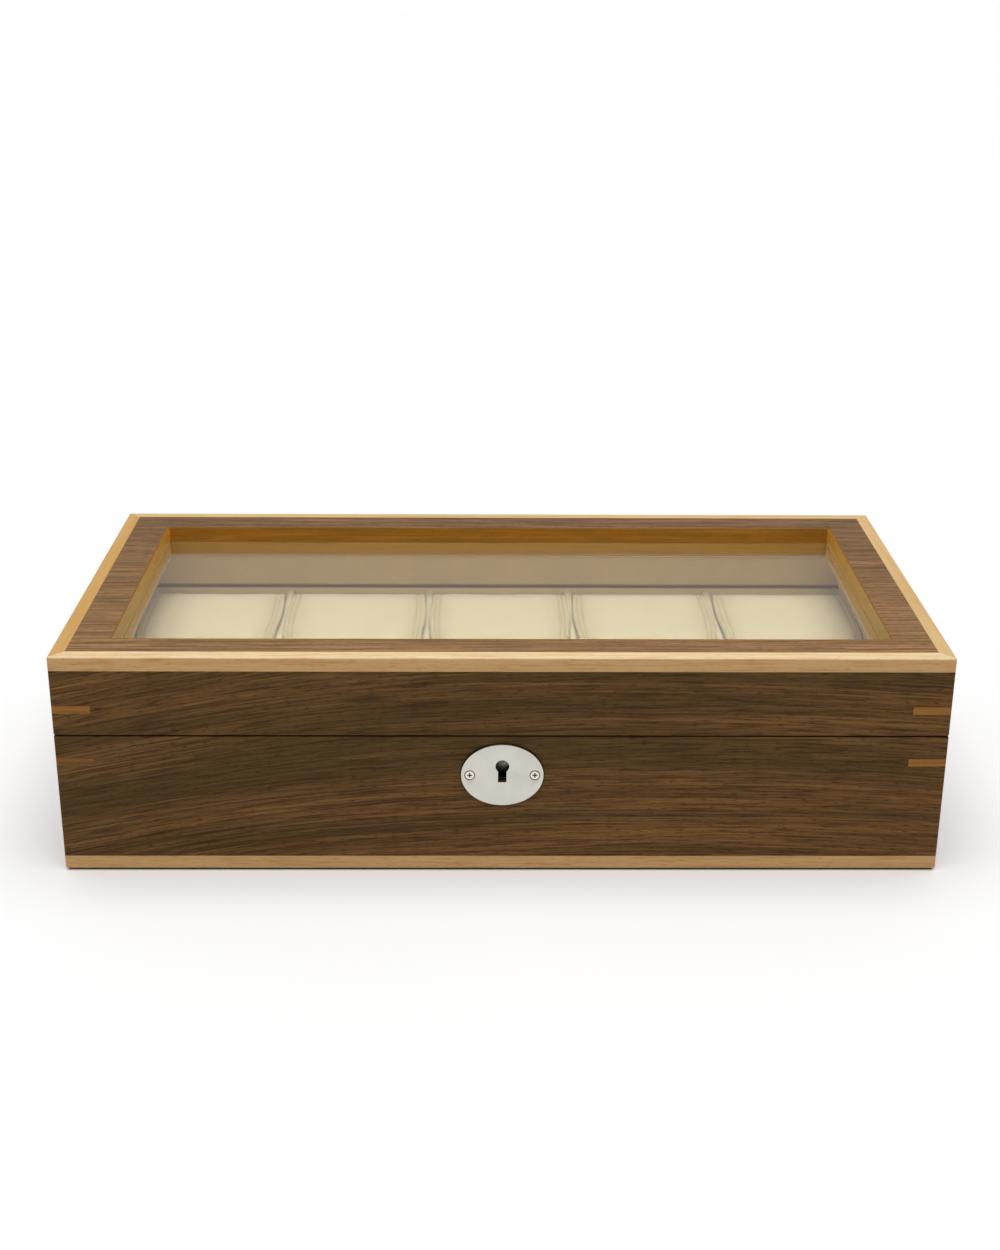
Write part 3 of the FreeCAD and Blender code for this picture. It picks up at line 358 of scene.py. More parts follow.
def timber_group(name):
    """Long grain along X: bands of two grounds, pale streaks, dark ring lines, fibres and pores."""
    inputs = {"Vector": "Vector", "Pale": "Color", "Warm": "Color", "Cool": "Color", "Dark": "Color",
              "Bands": "Float", "Arch": "Float", "Fibres": "Float", "Contrast": "Float",
              "Upright": "Float"}
    group, net, given, out = new_group(name, inputs, SURFACE)
    place = net.add("ShaderNodeSeparateXYZ", {0: given["Vector"]}).outputs
    off_centre = net.math("SUBTRACT", place["X"], ARCH_X)
    rise = net.math("MULTIPLY", net.math("MULTIPLY", off_centre, off_centre), given["Arch"])
    sway = net.noise(net.stretch(given["Vector"], (4.0, 14.0, 14.0)), detail=1.0)
    drift = net.math("ADD", rise, net.math("MULTIPLY", net.math("SUBTRACT", sway, 0.5), SWAY))
    flat = net.math("SUBTRACT", 1.0, given["Upright"])
    across_y = net.math("MULTIPLY_ADD", drift, flat, place["Y"])
    across_z = net.math("MULTIPLY_ADD", drift, given["Upright"], place["Z"])
    bent = net.add("ShaderNodeCombineXYZ", {"X": place["X"], "Y": across_y, "Z": across_z}).outputs[0]

    def grain(across, along, detail, roughness=0.6):
        """Noise of so many features in a metre across the grain, and along it."""
        stretched = net.stretch(bent, (along, across, across))
        return net.noise(stretched, detail=detail, roughness=roughness)

    def darken(plain, mask):
        """A colour with the dark of the fibres laid over it."""
        return net.mix(net.math("MULTIPLY", mask, given["Fibres"]), plain, given["Dark"])

    bands = net.noise(net.stretch(bent, (0.05, 1.0, 1.0)), given["Bands"])
    streaks = grain(*STREAKS, detail=3.0, roughness=0.65)
    fibres = grain(*FIBRES, detail=2.0)
    pores = net.remap(grain(*PORES, detail=1.0), 0.32, 0.42, 1.0, 0.0)
    hue = net.math("MULTIPLY", net.math("SUBTRACT", bands, 0.5), given["Contrast"])
    ground = net.mix(net.remap(hue, -0.12, 0.12), given["Cool"], given["Warm"])
    light = net.math("ADD", streaks, net.math("MULTIPLY", hue, 0.6))
    ground = net.mix(net.remap(light, 0.46, 0.76, 0.0, 0.65), ground, given["Pale"])
    ring = net.math("MULTIPLY", grain(*RINGS, detail=1.0, roughness=0.5), RINGS_EACH)
    ring = net.remap(net.math("FRACT", ring), 0.0, 0.35, 1.0, 0.0)
    ground = darken(ground, net.math("MULTIPLY", ring, net.remap(streaks, 0.62, 0.40)))
    ground = darken(ground, net.remap(fibres, 0.36, 0.52, 1.0, 0.0))
    net.feed(out["Color"], darken(ground, pores))
    net.feed(out["Roughness"], net.remap(fibres, 0.3, 0.7, 0.62, 0.48))
    net.feed(out["Height"], net.math("SUBTRACT", fibres, net.math("MULTIPLY", pores, 0.5)))
    return group


def nap_group(name):
    """Short pile: soft clouds where it lies over, and a fine speckle of tufts."""
    inputs = {"Vector": "Vector", "Color": "Color", "Shade": "Color", "Tufts": "Float"}
    group, net, given, out = new_group(name, inputs, SURFACE)
    clouds = net.noise(net.stretch(given["Vector"], (70.0, 45.0, 70.0)), detail=3.0, roughness=0.6)
    tufts = net.noise(given["Vector"], given["Tufts"], roughness=0.7)
    lie = net.remap(clouds, 0.32, 0.68)
    speckle = net.remap(tufts, 0.35, 0.65)
    shade = net.math("ADD", net.math("MULTIPLY", lie, 0.45), net.math("MULTIPLY", speckle, 0.55))
    net.feed(out["Color"], net.mix(shade, given["Shade"], given["Color"]))
    net.feed(out["Roughness"], net.remap(tufts, 0.3, 0.7, 0.95, 0.80))
    net.feed(out["Height"], net.math("ADD", tufts, net.math("MULTIPLY", clouds, 0.3)))
    return group


def metal_group(name):
    """Fine brushed lines along Z with a faint cloudy tarnish."""
    inputs = {"Vector": "Vector", "Color": "Color", "Gloss": "Float"}
    group, net, given, out = new_group(name, inputs, SURFACE)
    lines = net.noise(net.stretch(given["Vector"], (5200.0, 5200.0, 160.0)), roughness=0.7)
    cloud = net.noise(given["Vector"], 160.0, detail=3.0)
    dull = net.mix(0.16, given["Color"], (0.45, 0.42, 0.36, 1.0))
    net.feed(out["Color"], net.mix(net.remap(cloud, 0.4, 0.7), given["Color"], dull))
    brushed = net.math("MULTIPLY", net.math("SUBTRACT", lines, 0.5), 0.12)
    tarnish = net.math("MULTIPLY", net.math("SUBTRACT", cloud, 0.5), 0.08)
    rough = net.math("ADD", given["Gloss"], brushed)
    net.feed(out["Roughness"], net.math("ADD", rough, tarnish))
    net.feed(out["Height"], lines)
    return group


def new_material(name):
    """A material with an empty tree, its net, and a Principled shader joined to its output."""
    material = bpy.data.materials.new(name)
    material.use_nodes = True
    material.node_tree.nodes.clear()
    net = Net(material.node_tree)
    shader = net.add("ShaderNodeBsdfPrincipled")
    output = net.add("ShaderNodeOutputMaterial", {"Surface": shader.outputs[0]})
    return material, net, shader, output


def surface_place(net, offset=(0.0, 0.0, 0.0), turn=0.0):
    """Object coordinates, shifted and turned about Z so that a pattern runs along the piece."""
    place = net.add("ShaderNodeTexCoord").outputs["Object"]
    inputs = {"Vector": place, "Location": offset, "Rotation": (0.0, 0.0, turn)}
    return net.add("ShaderNodeMapping", inputs).outputs[0]


def opaque(rgb):
    """A colour with full alpha."""
    return (*rgb, 1.0)


def textured(net, shader, group_name, build, inputs, strength, distance):
    """Feeds a shader's colour, roughness and normal from a shared group."""
    group = net.add("ShaderNodeGroup", node_tree=shared_group(group_name, build))
    for key, value in inputs.items():
        net.feed(group.inputs[key], value)
    net.feed(shader.inputs["Base Color"], group.outputs["Color"])
    net.feed(shader.inputs["Roughness"], group.outputs["Roughness"])
    net.feed(shader.inputs["Normal"], net.bump(group.outputs["Height"], strength, distance))


def tint(net, shader, axis, start, end, rgb, blend="MULTIPLY", beyond_y=None):
    """Tints a shader's colour along an object axis, from nothing at the start to all at the end.

    With beyond_y, only what lies farther than that from Y = 0 is tinted.
    """
    place = net.add("ShaderNodeTexCoord").outputs["Object"]
    place = net.add("ShaderNodeSeparateXYZ", {0: place}).outputs
    mask = net.remap(place[axis], start, end)
    if beyond_y is not None:
        far = net.math("GREATER_THAN", net.math("ABSOLUTE", place["Y"]), beyond_y)
        mask = net.math("MULTIPLY", mask, far)
    shaded(net, shader, mask, rgb, blend)


def shaded(net, shader, mask, rgb, blend="MULTIPLY"):
    """Tints a shader's colour where a mask is up."""
    plain = shader.inputs["Base Color"].links[0].from_socket
    net.feed(shader.inputs["Base Color"], net.mix(mask, plain, opaque(rgb), blend))


def timber(name, pale, warm, cool, dark, offset=(0.0, 0.0, 0.0), turn=0.0, bands=55.0, arch=0.0,
           fibres=0.6, contrast=1.0, gloss=0.15, upright=0.0, tints=()):
    """A sealed wood with its grain along X, or along Y when turned, and tints along an axis."""
    material, net, shader, _ = new_material(name)
    inputs = {"Vector": surface_place(net, offset, turn), "Pale": opaque(pale), "Warm": opaque(warm),
              "Cool": opaque(cool), "Dark": opaque(dark), "Bands": bands, "Arch": arch,
              "Fibres": fibres, "Contrast": contrast, "Upright": upright}
    textured(net, shader, "Timber", timber_group, inputs, 0.25, 0.05 * MM)
    for settings in tints:
        tint(net, shader, *settings)
    shader.inputs["Specular IOR Level"].default_value = gloss
    return material


# Painted shade: this mesh attribute marks it at a cushion's ends, and at its seams, whose pressed pile
# is also darker.
PILE_AND_SHADE = "pressed_pile_and_shade"  # the vertex attribute that marks where velvet folds in


def cloth(name, rgb, shade, tufts, sheen, tints=(), shade_marked=False):
    """A short-piled cloth, with tints along an axis, or painted shade at the seams and ends that its
    mesh marks.
    """
    material, net, shader, _ = new_material(name)
    inputs = {"Vector": surface_place(net), "Color": opaque(rgb), "Shade": opaque(shade),
              "Tufts": tufts}
    textured(net, shader, "Nap", nap_group, inputs, 0.35, 0.15 * MM)
    for settings in tints:
        tint(net, shader, *settings)
    if shade_marked:
        pressed_pile_and_shade = net.add("ShaderNodeAttribute", attribute_name=PILE_AND_SHADE).outputs["Fac"]
        shaded(net, shader, pressed_pile_and_shade, colours().pressed_pile_and_shade)
    shader.inputs["Sheen Weight"].default_value = sheen
    shader.inputs["Sheen Roughness"].default_value = 0.45
    shader.inputs["Sheen Tint"].default_value = (1.0, 0.96, 0.88, 1.0)
    shader.inputs["Specular IOR Level"].default_value = 0.2
    return material


def metal(name, rgb, gloss, face_y=None):
    """A brushed metal, with painted shade wherever it lies deeper than an upright face."""
    material, net, shader, _ = new_material(name)
    inputs = {"Vector": surface_place(net), "Color": opaque(rgb), "Gloss": gloss}
    textured(net, shader, "Satin Metal", metal_group, inputs, 0.08, 0.02 * MM)
    shader.inputs["Metallic"].default_value = 1.0
    if face_y is not None:
        # Painted shade on what lies behind the face.
        tint(net, shader, "Y", face_y + 0.01 * MM, face_y + 0.05 * MM, colours().recess_shade, "MIX")
    return material


def clear_glass(name):
    """Float glass with a faint green, which lets lamplight through to what it covers."""
    material, net, shader, output = new_material(name)
    shader.inputs["Base Color"].default_value = (0.96, 0.985, 0.965, 1.0)
    shader.inputs["Roughness"].default_value = 0.0
    shader.inputs["IOR"].default_value = 1.45
    shader.inputs["Transmission Weight"].default_value = 1.0
    see_through = net.add("ShaderNodeBsdfTransparent", {"Color": (0.93, 0.95, 0.93, 1.0)})
    is_shadow = net.add("ShaderNodeLightPath").outputs["Is Shadow Ray"]
    shaders = {0: is_shadow, 1: shader.outputs[0], 2: see_through.outputs[0]}
    chosen = net.add("ShaderNodeMixShader", shaders)
    net.feed(output.inputs["Surface"], chosen.outputs[0])
    return material


# --- Timber -------------------------------------------------------------------------------------

QUARTER_TURN = math.radians(90)


class WATCHBOX_OT_panels(bpy.types.Operator):
    """Veneers the case's panels, the lid's rails and the lid's top with walnut"""
    bl_idname = "watchbox.panels"
    bl_label = "Walnut Panels"

    def execute(self, context):
        tone = colours()
        woods = (tone.walnut_pale, tone.walnut_warm, tone.walnut_cool, tone.walnut_dark)
        seams = []
        # Painted shadow along the seam, on the case panels' top edges and the lid rails' lower edges.
        for side in (-1, 1):
            middle = (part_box("base_front_panel")[1].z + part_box("lid_front_rail")[0].z) / 2
            seams.append(("Z", middle + side * 0.5 * MM, middle + side * 0.3 * MM, tone.seam_shadow))
        front_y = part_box("base_front_panel")[0].y
        # The front panel's board behind its veneer is darkened with the same colour as the painted
        # seam shadow.
        core = ("Y", front_y + 0.8 * MM, front_y + 1.4 * MM, tone.seam_shadow)
        common = {"gloss": 0.06, "upright": 1.0, "fibres": 0.62, "contrast": 1.15}
        finishes = {"front": {"arch": 0.42}, "back": {"offset": (0.0, 0.9, 0.3), "arch": -0.2},
                    "left": {"offset": (0.4, 0.0, 0.7), "turn": QUARTER_TURN},
                    "right": {"offset": (0.1, 0.6, 0.2), "turn": QUARTER_TURN}}
        for side in SIDES:
            inner = [core] if side == "front" else []
            pieces = {f"base_{side}_panel": [seams[0], *inner], f"lid_{side}_rail": [seams[1]]}
            for node, tints in pieces.items():
                wood = timber(f"walnut_{node}", *woods, **finishes[side], **common, tints=tints)
                coat(node, wood)
        # The top's woods: its own paler veneer, with painted light for the top's stronger lighting.
        paler = [tuple(a * b for a, b in zip(wood, tone.walnut_top_and_light)) for wood in woods]
        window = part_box("window_glass")
        top = timber("walnut_top_and_light", *paler, offset=(0.2, 0.3, 0.0), contrast=0.3, fibres=0.6,
                     tints=[("Y", window[1].y, window[0].y, tone.top_front)])
        coat("lid_top_panel", top)
        board = timber("plain_board", tone.board, tone.board, tone.board, tone.lipping_gold,
                       fibres=0.3)
        coat("base_floor_panel", board)
        coat("lid_underframe", board)
        return {"FINISHED"}


class WATCHBOX_OT_edging(bpy.types.Operator):
    """Finishes the pale edging strips, each a little different in tone, partly from painted
    reflection, with painted shade on their upright faces
    """
    bl_idname = "watchbox.edging"
    bl_label = "Maple Edging"

    def execute(self, context):
        tone = colours()
        # How deep each side's maple is: partly the strips' own tones, partly painted reflection, which
        # makes the left and right strips differ.
        depth = {"front": 0.0, "right": 0.55, "back": 0.45, "left": 0.85}
        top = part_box("lid_edging_front")[1].z
        for number, side in enumerate(SIDES):
            pale = Vector(tone.maple_pale).lerp(Vector(tone.maple_deep), depth[side])
            deep = Vector(tone.maple_pale).lerp(Vector(tone.maple_deep), depth[side] + 0.15)
            turn = QUARTER_TURN if side in ("left", "right") else 0.0
            # Painted shade on the edging's faces below its top.
            wood = timber(f"maple_{side}", pale, pale, deep, tone.maple_deep,
                          offset=(number * 0.7, 0.0, number * 0.4), turn=turn, bands=240.0, fibres=0.4,
                          tints=[("Z", top - 0.2 * MM, top - 0.7 * MM, tone.maple_side_shade)])
            coat(f"base_edging_{side}", wood)
            coat(f"lid_edging_{side}", wood)
        return {"FINISHED"}


class WATCHBOX_OT_small_timber(bpy.types.Operator):
    """Finishes the corner splines and the lipping round the window"""
    bl_idname = "watchbox.small_timber"
    bl_label = "Splines and Lipping"

    def execute(self, context):
        tone = colours()
        brown = Vector(tone.spline_brown)
        browns = {"warm": brown, "cool": brown * 0.9, "dark": brown * 0.5, "bands": 300.0,
                  "fibres": 0.4}
        coat("lid_corner_splines", timber("spline_wood", brown * 1.3, **browns))
        # The left-hand splines are tinted darker and less orange.
        left_tint = [("X", -0.13, -0.14, tone.spline_left_tint)]
        coat("base_corner_splines", timber("spline_wood_left", brown * 1.2, **browns, tints=left_tint))
        low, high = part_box("window_lipping_upper")

        def at_sides(rgb):
            """Painted light on the strips at the window's two sides."""
            start, end = high.x - 1.6 * MM, high.x - 1.1 * MM
            return [("X", way * start, way * end, rgb) for way in (-1, 1)]

        gold, pale = Vector(tone.lipping_gold), Vector(tone.lipping_pale)
        # Painted light: the upper lipping pales from its back strip towards the front.
        light_to_front = ("Y", high.y - MM, low.y, pale, "MIX")
        cut_edge = ("Z", high.z - 0.1 * MM, high.z, gold * 0.6, "MIX")
        upper = timber("lipping_upper", gold * 1.25, gold, gold * 0.85, gold * 0.6, bands=400.0,
                       fibres=0.4, tints=[light_to_front, *at_sides(tone.lipping_side_light), cut_edge])
        lower = timber("lipping_lower", pale * 1.1, pale, pale * 0.95, gold, bands=400.0,
                       fibres=0.3, tints=at_sides(tone.lower_side_light))
        place_piece(bedded_lipping(), "window_lipping_upper", upper)
        coat("window_lipping_lower", lower)
        return {"FINISHED"}


def bedded_lipping():
    """The upper lipping drawn down beside the glass, so that no gap shows round the pane."""
    piece = merged_copy("window_lipping_upper", "window_lipping_bedded")
    glass_low, glass_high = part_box("window_glass")

    def at_foot(vertex):
        return vertex.co.z < glass_high.z + 0.1 * MM

    down = (0, 0, glass_low.z - glass_high.z)
    return edit(piece, "VERT", at_foot, bpy.ops.transform.translate, value=down)


class WATCHBOX_OT_glass(bpy.types.Operator):
    """Glazes the lid"""
    bl_idname = "watchbox.glass"
    bl_label = "Glass"

    def execute(self, context):
        coat("window_glass", clear_glass("float_glass"))
        return {"FINISHED"}


# --- Cloth --------------------------------------------------------------------------------------


class WATCHBOX_OT_linings(bpy.types.Operator):
    """Lines the case and the lid with beige flock whose edges are soft, and lays the felt"""
    bl_idname = "watchbox.linings"
    bl_label = "Linings and Felt"

    def execute(self, context):
        tone = colours()
        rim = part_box("base_lining")[1].z
        brow, top = (corner.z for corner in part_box("lid_lining"))
        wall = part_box("base_floor_lining")[1].y - 3 * MM
        # Painted shadow on the linings' edges at the joint, on the front and back walls only.
        joint_shadow_band = (tone.joint_shadow, "MULTIPLY", wall)
        tints = {"base_lining": [("Z", rim - 0.8 * MM, rim - 0.3 * MM, *joint_shadow_band)],
                 "lid_lining": [("Z", brow + 1.4 * MM, brow + 0.4 * MM, *joint_shadow_band),
                                # Painted shade on the lid lining's flange.
                                ("Z", top - 2.0 * MM, top - 1.6 * MM, tone.flange_shade)],
                 "base_floor_lining": []}
        for node in tints:
            flock = cloth(f"{node}_flock", tone.lining, tone.lining_shade, 1500.0, 0.25, tints[node])
            eased_copy(node, flock, sizes().cloth_ease, segments=3)
        coat("underside_felt", cloth("brown_felt", tone.felt, Vector(tone.felt) * 0.6, 1200.0, 0.15))
        return {"FINISHED"}


def wrapped_board(node, material):
    """A divider wrapped in velvet: a board with a round top whose cloth is never quite flat."""
    low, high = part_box(node)
    piece = primitive("cube", f"{node}_wrapped", size=1.0, location=(low + high) / 2)
    piece.scale = high - low
    settle(piece)
    axis = 0 if high.x - low.x > high.y - low.y else 1
    thin = (high - low)[1 - axis]

    def is_long(edge):
        first, second = (piece.data.vertices[i].co[axis] for i in edge.vertices)
        return abs(first - second) > 10 * thin

    def is_long_on_top(edge):
        return is_long(edge) and piece.data.vertices[edge.vertices[0]].co.z > high.z - MM

    edit(piece, "EDGE", is_long_on_top, bpy.ops.mesh.bevel, offset=thin * 0.48, segments=5)
    cuts = round((high - low)[axis] / (3 * MM)) - 1
    edit(piece, "EDGE", is_long, bpy.ops.mesh.subdivide, number_cuts=cuts)
    for vertex in piece.data.vertices:
        if vertex.co.z > high.z - 6 * MM:
            vertex.co.z -= 0.25 * MM * (1.0 + noise.noise(vertex.co * 90.0))
    smooth(piece, 60)
    return place_piece(piece, node, material)


class WATCHBOX_OT_dividers(bpy.types.Operator):
    """Wraps the dividers in velvet"""
    bl_idname = "watchbox.dividers"
    bl_label = "Dividers"

    def execute(self, context):
        tone = colours()
        velvet = cloth("divider_velvet", tone.velvet, tone.velvet_shade, 1300.0, 0.35)
        for node in sorted(node for node in NODES if "divider" in node):
            wrapped_board(node, velvet)
        return {"FINISHED"}


CUSHION_CUTS = 17
PRESSED_FRAMES = 20  # how long the cloth swells
CROWN_DEPTH = 2.4 * MM  # how far down from its top a cushion's crown reaches
# Shares of the painted shade; at a seam it also stands for the pressed pile.
SEAM_PILE_AND_SHADE = 0.7  # how much of the fold's tint a seam takes
END_SHADE_SHARE = 0.38  # how much of it an end takes beside a divider


def rounded_section(y, z, half):
    """A point of a box's cross-section moved on to its rounded outline."""
    radius = sizes().crown_round if z > 0 else sizes().foot_round
    inner = Vector((half.y - radius, half.z - radius))
    core = Vector((max(-inner.x, min(inner.x, y)), max(-inner.y, min(inner.y, z))))
    away = Vector((y, z)) - core
    reach = max(abs(away.x), abs(away.y))
    return core + away.normalized() * reach if away.length > 1e-9 else Vector((y, z))


def cushion_blank(half, seam_x):
    """A block of even squares, centred on the origin, with rounded ends and a rounded section."""
    piece = primitive("cube", "cushion_blank", size=2.0)
    piece.scale = half
    settle(piece)
    edit(piece, "VERT", everything, bpy.ops.mesh.subdivide, number_cuts=CUSHION_CUTS)
    ring_x = half.x * (CUSHION_CUTS - 1) / (CUSHION_CUTS + 1)
    for vertex in piece.data.vertices:
        if abs(abs(vertex.co.x) - ring_x) < 0.1 * MM:
            vertex.co.x = math.copysign(seam_x, vertex.co.x)

    def on_rim(edge):
        first, second = (piece.data.vertices[i].co for i in edge.vertices)
        near = [abs(a - b) < 1e-7 and abs(abs(a) - size) < 1e-7
                for a, b, size in zip(first, second, half)]
        return near[0] and (near[1] or near[2])

    edit(piece, "EDGE", on_rim, bpy.ops.mesh.bevel, offset=sizes().end_round, segments=3)
    for vertex in piece.data.vertices:
        place = vertex.co
        place.y, place.z = rounded_section(place.y, place.z, half)
    return piece


def smooth_step(value, low, high):
    """0 up to a low value and 1 from a high one, with an even curve between them."""
    share = min(1.0, max(0.0, (value - low) / (high - low)))
    return share * share * (3 - 2 * share)


def inflate(piece, held):
    """Swells a closed shape as cloth under pressure, with some vertices held, and applies it."""
    group = piece.vertex_groups.new(name="seams")
    group.add(held, 1.0, "REPLACE")
    activate(piece)
    modifier = piece.modifiers.new("Cloth", "CLOTH")
    settings = modifier.settings
    settings.use_pressure = True
    settings.uniform_pressure_force = 4.0
    settings.vertex_group_mass = group.name
    settings.effector_weights.gravity = 0.0
    settings.tension_stiffness = settings.compression_stiffness = 12.0
    settings.bending_stiffness = 0.4
    modifier.collision_settings.use_collision = False
    scene = bpy.context.scene
    for step in range(1, PRESSED_FRAMES + 1):
        scene.frame_set(step)
    bpy.ops.object.modifier_apply(modifier=modifier.name)
    scene.frame_set(1)
    piece.vertex_groups.clear()


def sewn_pattern(half):
    """A cushion at the origin, swollen between its end seams, with a cut each side of the seams."""
    size = sizes()
    seam_x = half.x - size.seam_inset
    piece = cushion_blank(half, seam_x)
    vertices = piece.data.vertices
    start = [vertex.co.copy() for vertex in vertices]
    held = [vertex.index for vertex in vertices if abs(abs(vertex.co.x) - seam_x) < 0.1 * MM]
    inflate(piece, held)
    for vertex, first in zip(vertices, start):
        limit = size.swell_crown if first.z > half.z - CROWN_DEPTH else size.swell_side
        shift = vertex.co - first
        if shift.length > limit:
            shift.length = limit
        vertex.co = first + shift

    def on_seam(edge):
        return all(abs(abs(vertices[i].co.x) - seam_x) < 1e-5 for i in edge.vertices)

    return edit(piece, "EDGE", on_seam, bpy.ops.mesh.bevel, offset=size.seam_width, segments=4)


def fitted_cushion(pattern, name, half, wall, seed):
    """A cushion fitted to its cell: sunk seams, and ends that lap over dividers but not a wall."""
    size = sizes()
    piece = duplicate(pattern, name)
    seam_x = half.x - size.seam_inset
    shift = Vector((3.7, 1.9, 2.3)) * seed
    folds = []
    for vertex in piece.data.vertices:
        place, normal = vertex.co.copy(), vertex.normal.copy()
        far = abs(place.x)
        at_wall = place.x * wall > 0
        in_groove = 0.2 * size.seam_width < abs(far - seam_x) < 0.8 * size.seam_width
        at_end = smooth_step(far, half.x - size.end_reach, half.x)
        # Painted shade at the ends beside a divider, none at a wall; seams take it over their pressed
        # pile.
        end_shade = 0.0 if at_wall else END_SHADE_SHARE * at_end
        folds.append(SEAM_PILE_AND_SHADE if in_groove else end_shade)
        above = smooth_step(place.z, half.z - CROWN_DEPTH, half.z - 0.8 * MM)
        middle = max(0.0, 1 - (place.y / half.y) ** 2)
        at_edge = smooth_step(abs(place.y), half.y - size.crown_round, half.y - 2 * MM)
        over = size.swell_over * above * middle * smooth_step(far, half.x - 5 * MM, half.x - MM)
        shoulder = smooth_step(place.z, 0.0, half.z - 3 * MM) * (1 - above)
        side = size.swell_end * shoulder * smooth_step(far, half.x - 0.5 * MM, half.x - 0.1 * MM)
        swell = noise.noise(place * 45.0 + shift) + 0.5 * noise.noise(place * 110.0 + shift)
        vertex.co += normal * (swell * size.wrinkle * (1 - at_end) - size.seam_depth * in_groove)
        reach = abs(vertex.co.x) + side + over
        if at_wall:
            reach = min(reach, half.x + size.swell_end)
        vertex.co.x = math.copysign(reach, place.x)
        vertex.co.z -= size.sag * (1 - (place.x / half.x) ** 2) * at_edge * above
    piece.data.attributes.new(PILE_AND_SHADE, "FLOAT", "POINT").data.foreach_set("value", folds)
    modify(piece, "SUBSURF", levels=1, render_levels=1)
    return smooth(piece, 60)


class WATCHBOX_OT_cushions(bpy.types.Operator):
    """Sews ten velvet cushions, one for each cell"""
    bl_idname = "watchbox.cushions"
    bl_label = "Cushions"

    def execute(self, context):
        tone = colours()
        velvet = cloth("cream_velvet", tone.velvet, tone.velvet_shade, 1300.0, 0.4, shade_marked=True)
        low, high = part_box("cushion_back_3")
        half = (high - low) / 2
        pattern = sewn_pattern(half)
        walls = {"1": -1, "5": 1}  # the way to the wall, for the cushion at each end of a row
        for seed, node in enumerate(sorted(node for node in NODES if node.startswith("cushion_"))):
            low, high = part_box(node)
            piece = fitted_cushion(pattern, f"{node}_sewn", half, walls.get(node[-1], 0), seed)
            piece.location = (low + high) / 2
            settle(piece)
            place_piece(piece, node, velvet)
        bpy.data.objects.remove(pattern)
        return {"FINISHED"}


# --- Metalwork ----------------------------------------------------------------------------------


class WATCHBOX_OT_metalwork(bpy.types.Operator):
    """Eases the edges of the plate, screws, lock and hinges, and gives them their metals"""
    bl_idname = "watchbox.metalwork"
    bl_label = "Metalwork"

    def execute(self, context):
        tone = colours()
        face_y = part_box("escutcheon")[0].y
        finishes = {"escutcheon_nickel": metal("plate_nickel", tone.nickel, 0.36, face_y),
                    "screw_nickel": metal("screw_nickel", tone.screw, 0.24),
                    "hinge_nickel": metal("hinge_nickel", tone.nickel, 0.30),
                    "lock_steel": metal("lock_steel", tone.steel, 0.38)}
        special = {"escutcheon_screws": metal("plate_screw", tone.screw, 0.24, face_y),
                   # Painted shade on the key pin.
                   "lock_key_pin": metal("shaded_steel", tone.key_pin_shade, 0.45)}
        for node in sorted(NODES):
            if SLOT_OF[node] in finishes:
                eased_copy(node, special.get(node, finishes[SLOT_OF[node]]), sizes().metal_ease)
        return {"FINISHED"}


# --- Stage --------------------------------------------------------------------------------------


SKY_LIGHT = 0.36  # how strongly the sky lights the box
SKY_SEEN = 1.0  # how bright it looks past the floor's far edge


class WATCHBOX_OT_stage(bpy.types.Operator):
    """Lays the pale floor, and sets the soft studio light and the camera"""
    bl_idname = "watchbox.stage"
    bl_label = "Stage"

    def execute(self, context):
        scene = context.scene
        scene.view_settings.view_transform = "Standard"
        material, net, shader, _ = new_material("pale_floor")
        mottle = net.remap(net.noise(surface_place(net), 3.0), 0.3, 0.7)
        pale = Vector(colours().floor)
        net.feed(shader.inputs["Base Color"], net.mix(mottle, opaque(pale * 0.985), opaque(pale)))
        shader.inputs["Roughness"].default_value = 0.9
        floor = primitive("plane", "floor", size=60.0)
        floor.data.materials.append(material)

        world = bpy.data.worlds.new("studio")
        world.use_nodes = True
        sky = Net(world.node_tree)
        background = world.node_tree.nodes["Background"]
        background.inputs["Color"].default_value = (1.0, 1.0, 1.0, 1.0)
        seen = sky.add("ShaderNodeLightPath").outputs["Is Camera Ray"]
        sky.feed(background.inputs["Strength"], sky.remap(seen, 0.0, 1.0, SKY_LIGHT, SKY_SEEN))
        scene.world = world
        soft_light("soft_overhead", strength=2.40, spread=60, source=(0.0, -0.12, 1.0))

        lens = bpy.data.cameras.new("camera")
        lens.lens = 51.85
        lens.clip_start = 0.01
        camera = bpy.data.objects.new("camera", lens)
        camera.location = (-0.0085, -0.6845, 0.3391)
        camera.rotation_euler = camera_turn(yaw=0.697, pitch=21.668, roll=0.359)
        scene.collection.objects.link(camera)
        scene.camera = camera
        return {"FINISHED"}


def soft_light(name, strength, spread, source):
    """A broad distant light that comes from a direction."""
    lamp = bpy.data.lights.new(name, "SUN")
    lamp.energy = strength
    lamp.angle = math.radians(spread)
    light = bpy.data.objects.new(name, lamp)
    light.rotation_euler = Vector(source).to_track_quat("Z", "Y").to_euler()
    bpy.context.scene.collection.objects.link(light)


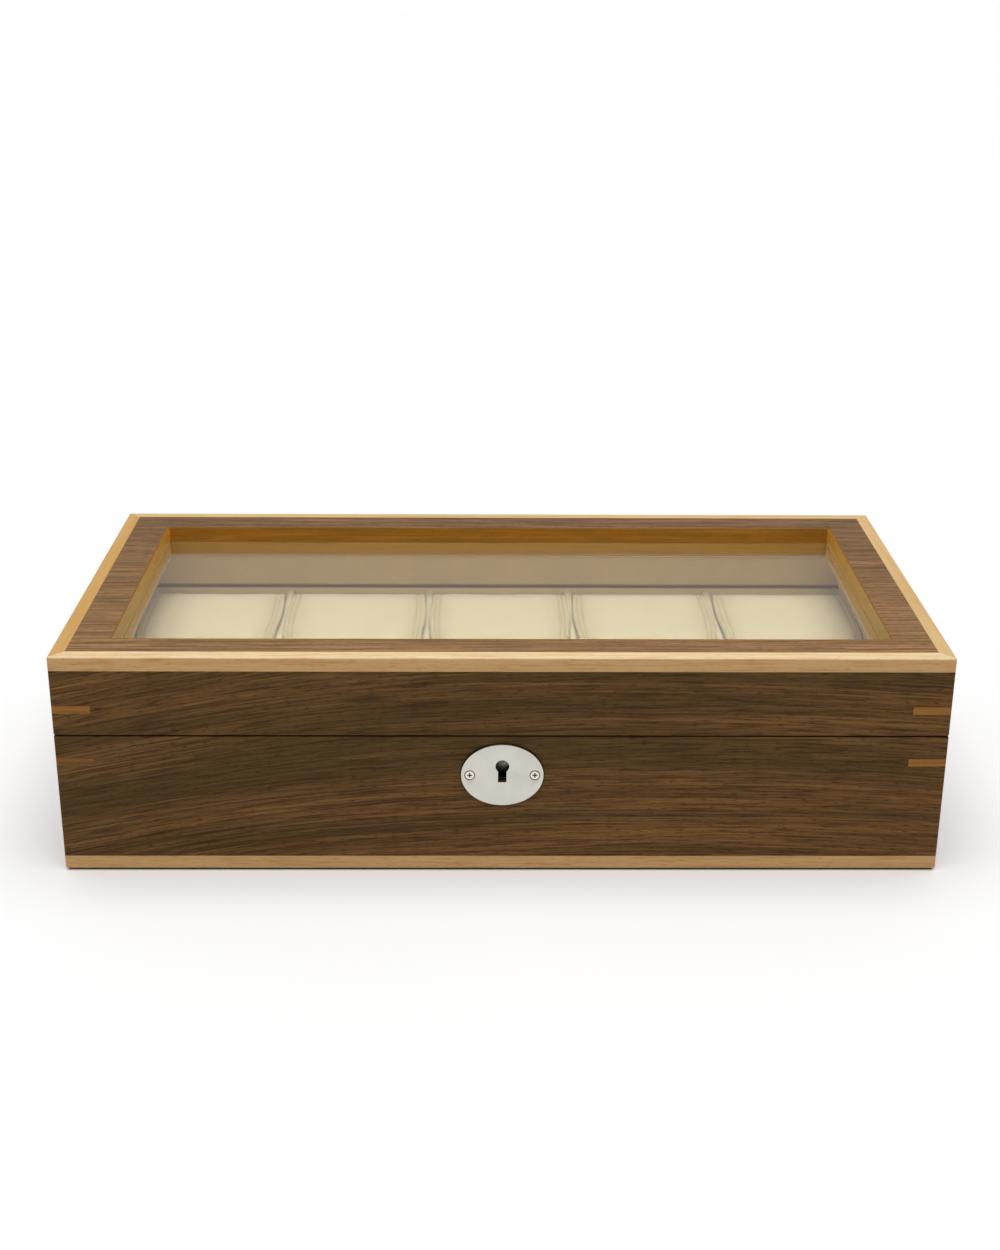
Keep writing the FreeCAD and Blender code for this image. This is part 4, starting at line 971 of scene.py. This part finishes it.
def camera_turn(yaw, pitch, roll):
    """The camera's rotation from its heading right of +Y, its tilt down and its roll, in degrees."""
    yaw, pitch, roll = (math.radians(angle) for angle in (yaw, pitch, roll))
    ahead = Vector((math.sin(yaw) * math.cos(pitch), math.cos(yaw) * math.cos(pitch),
                    -math.sin(pitch)))
    level = Vector((math.cos(yaw), -math.sin(yaw), 0.0))
    upward = level.cross(ahead)
    right = level * math.cos(roll) + upward * math.sin(roll)
    top = upward * math.cos(roll) - level * math.sin(roll)
    return Matrix((right, top, -ahead)).transposed().to_euler()


# --- Panel and registration ---------------------------------------------------------------------

OPERATORS = (
    WATCHBOX_OT_panels,
    WATCHBOX_OT_edging,
    WATCHBOX_OT_small_timber,
    WATCHBOX_OT_glass,
    WATCHBOX_OT_linings,
    WATCHBOX_OT_dividers,
    WATCHBOX_OT_cushions,
    WATCHBOX_OT_metalwork,
    WATCHBOX_OT_stage,
)


class WATCHBOX_PT_sidebar(bpy.types.Panel):
    """Lists the box's pieces and what can be changed in them"""
    bl_label = "Watch Box"
    bl_space_type = "VIEW_3D"
    bl_region_type = "UI"
    bl_category = "Watch Box"

    def draw(self, context):
        for group in (context.scene.watch_box_sizes, context.scene.watch_box_colours):
            for name in group.__annotations__:
                self.layout.prop(group, name)
        for operator in OPERATORS:
            self.layout.operator(operator.bl_idname)


CLASSES = (WatchBoxColours, WatchBoxSizes, *OPERATORS, WATCHBOX_PT_sidebar)


def register():
    for item in CLASSES:
        bpy.utils.register_class(item)
    bpy.types.Scene.watch_box_colours = bpy.props.PointerProperty(type=WatchBoxColours)
    bpy.types.Scene.watch_box_sizes = bpy.props.PointerProperty(type=WatchBoxSizes)


def unregister():
    del bpy.types.Scene.watch_box_sizes
    del bpy.types.Scene.watch_box_colours
    for item in reversed(CLASSES):
        bpy.utils.unregister_class(item)


def main():
    """Builds the looks in order."""
    register()
    for operator in OPERATORS:
        family, name = operator.bl_idname.split(".")
        getattr(getattr(bpy.ops, family), name)()


if __name__ == "__main__":
    main()
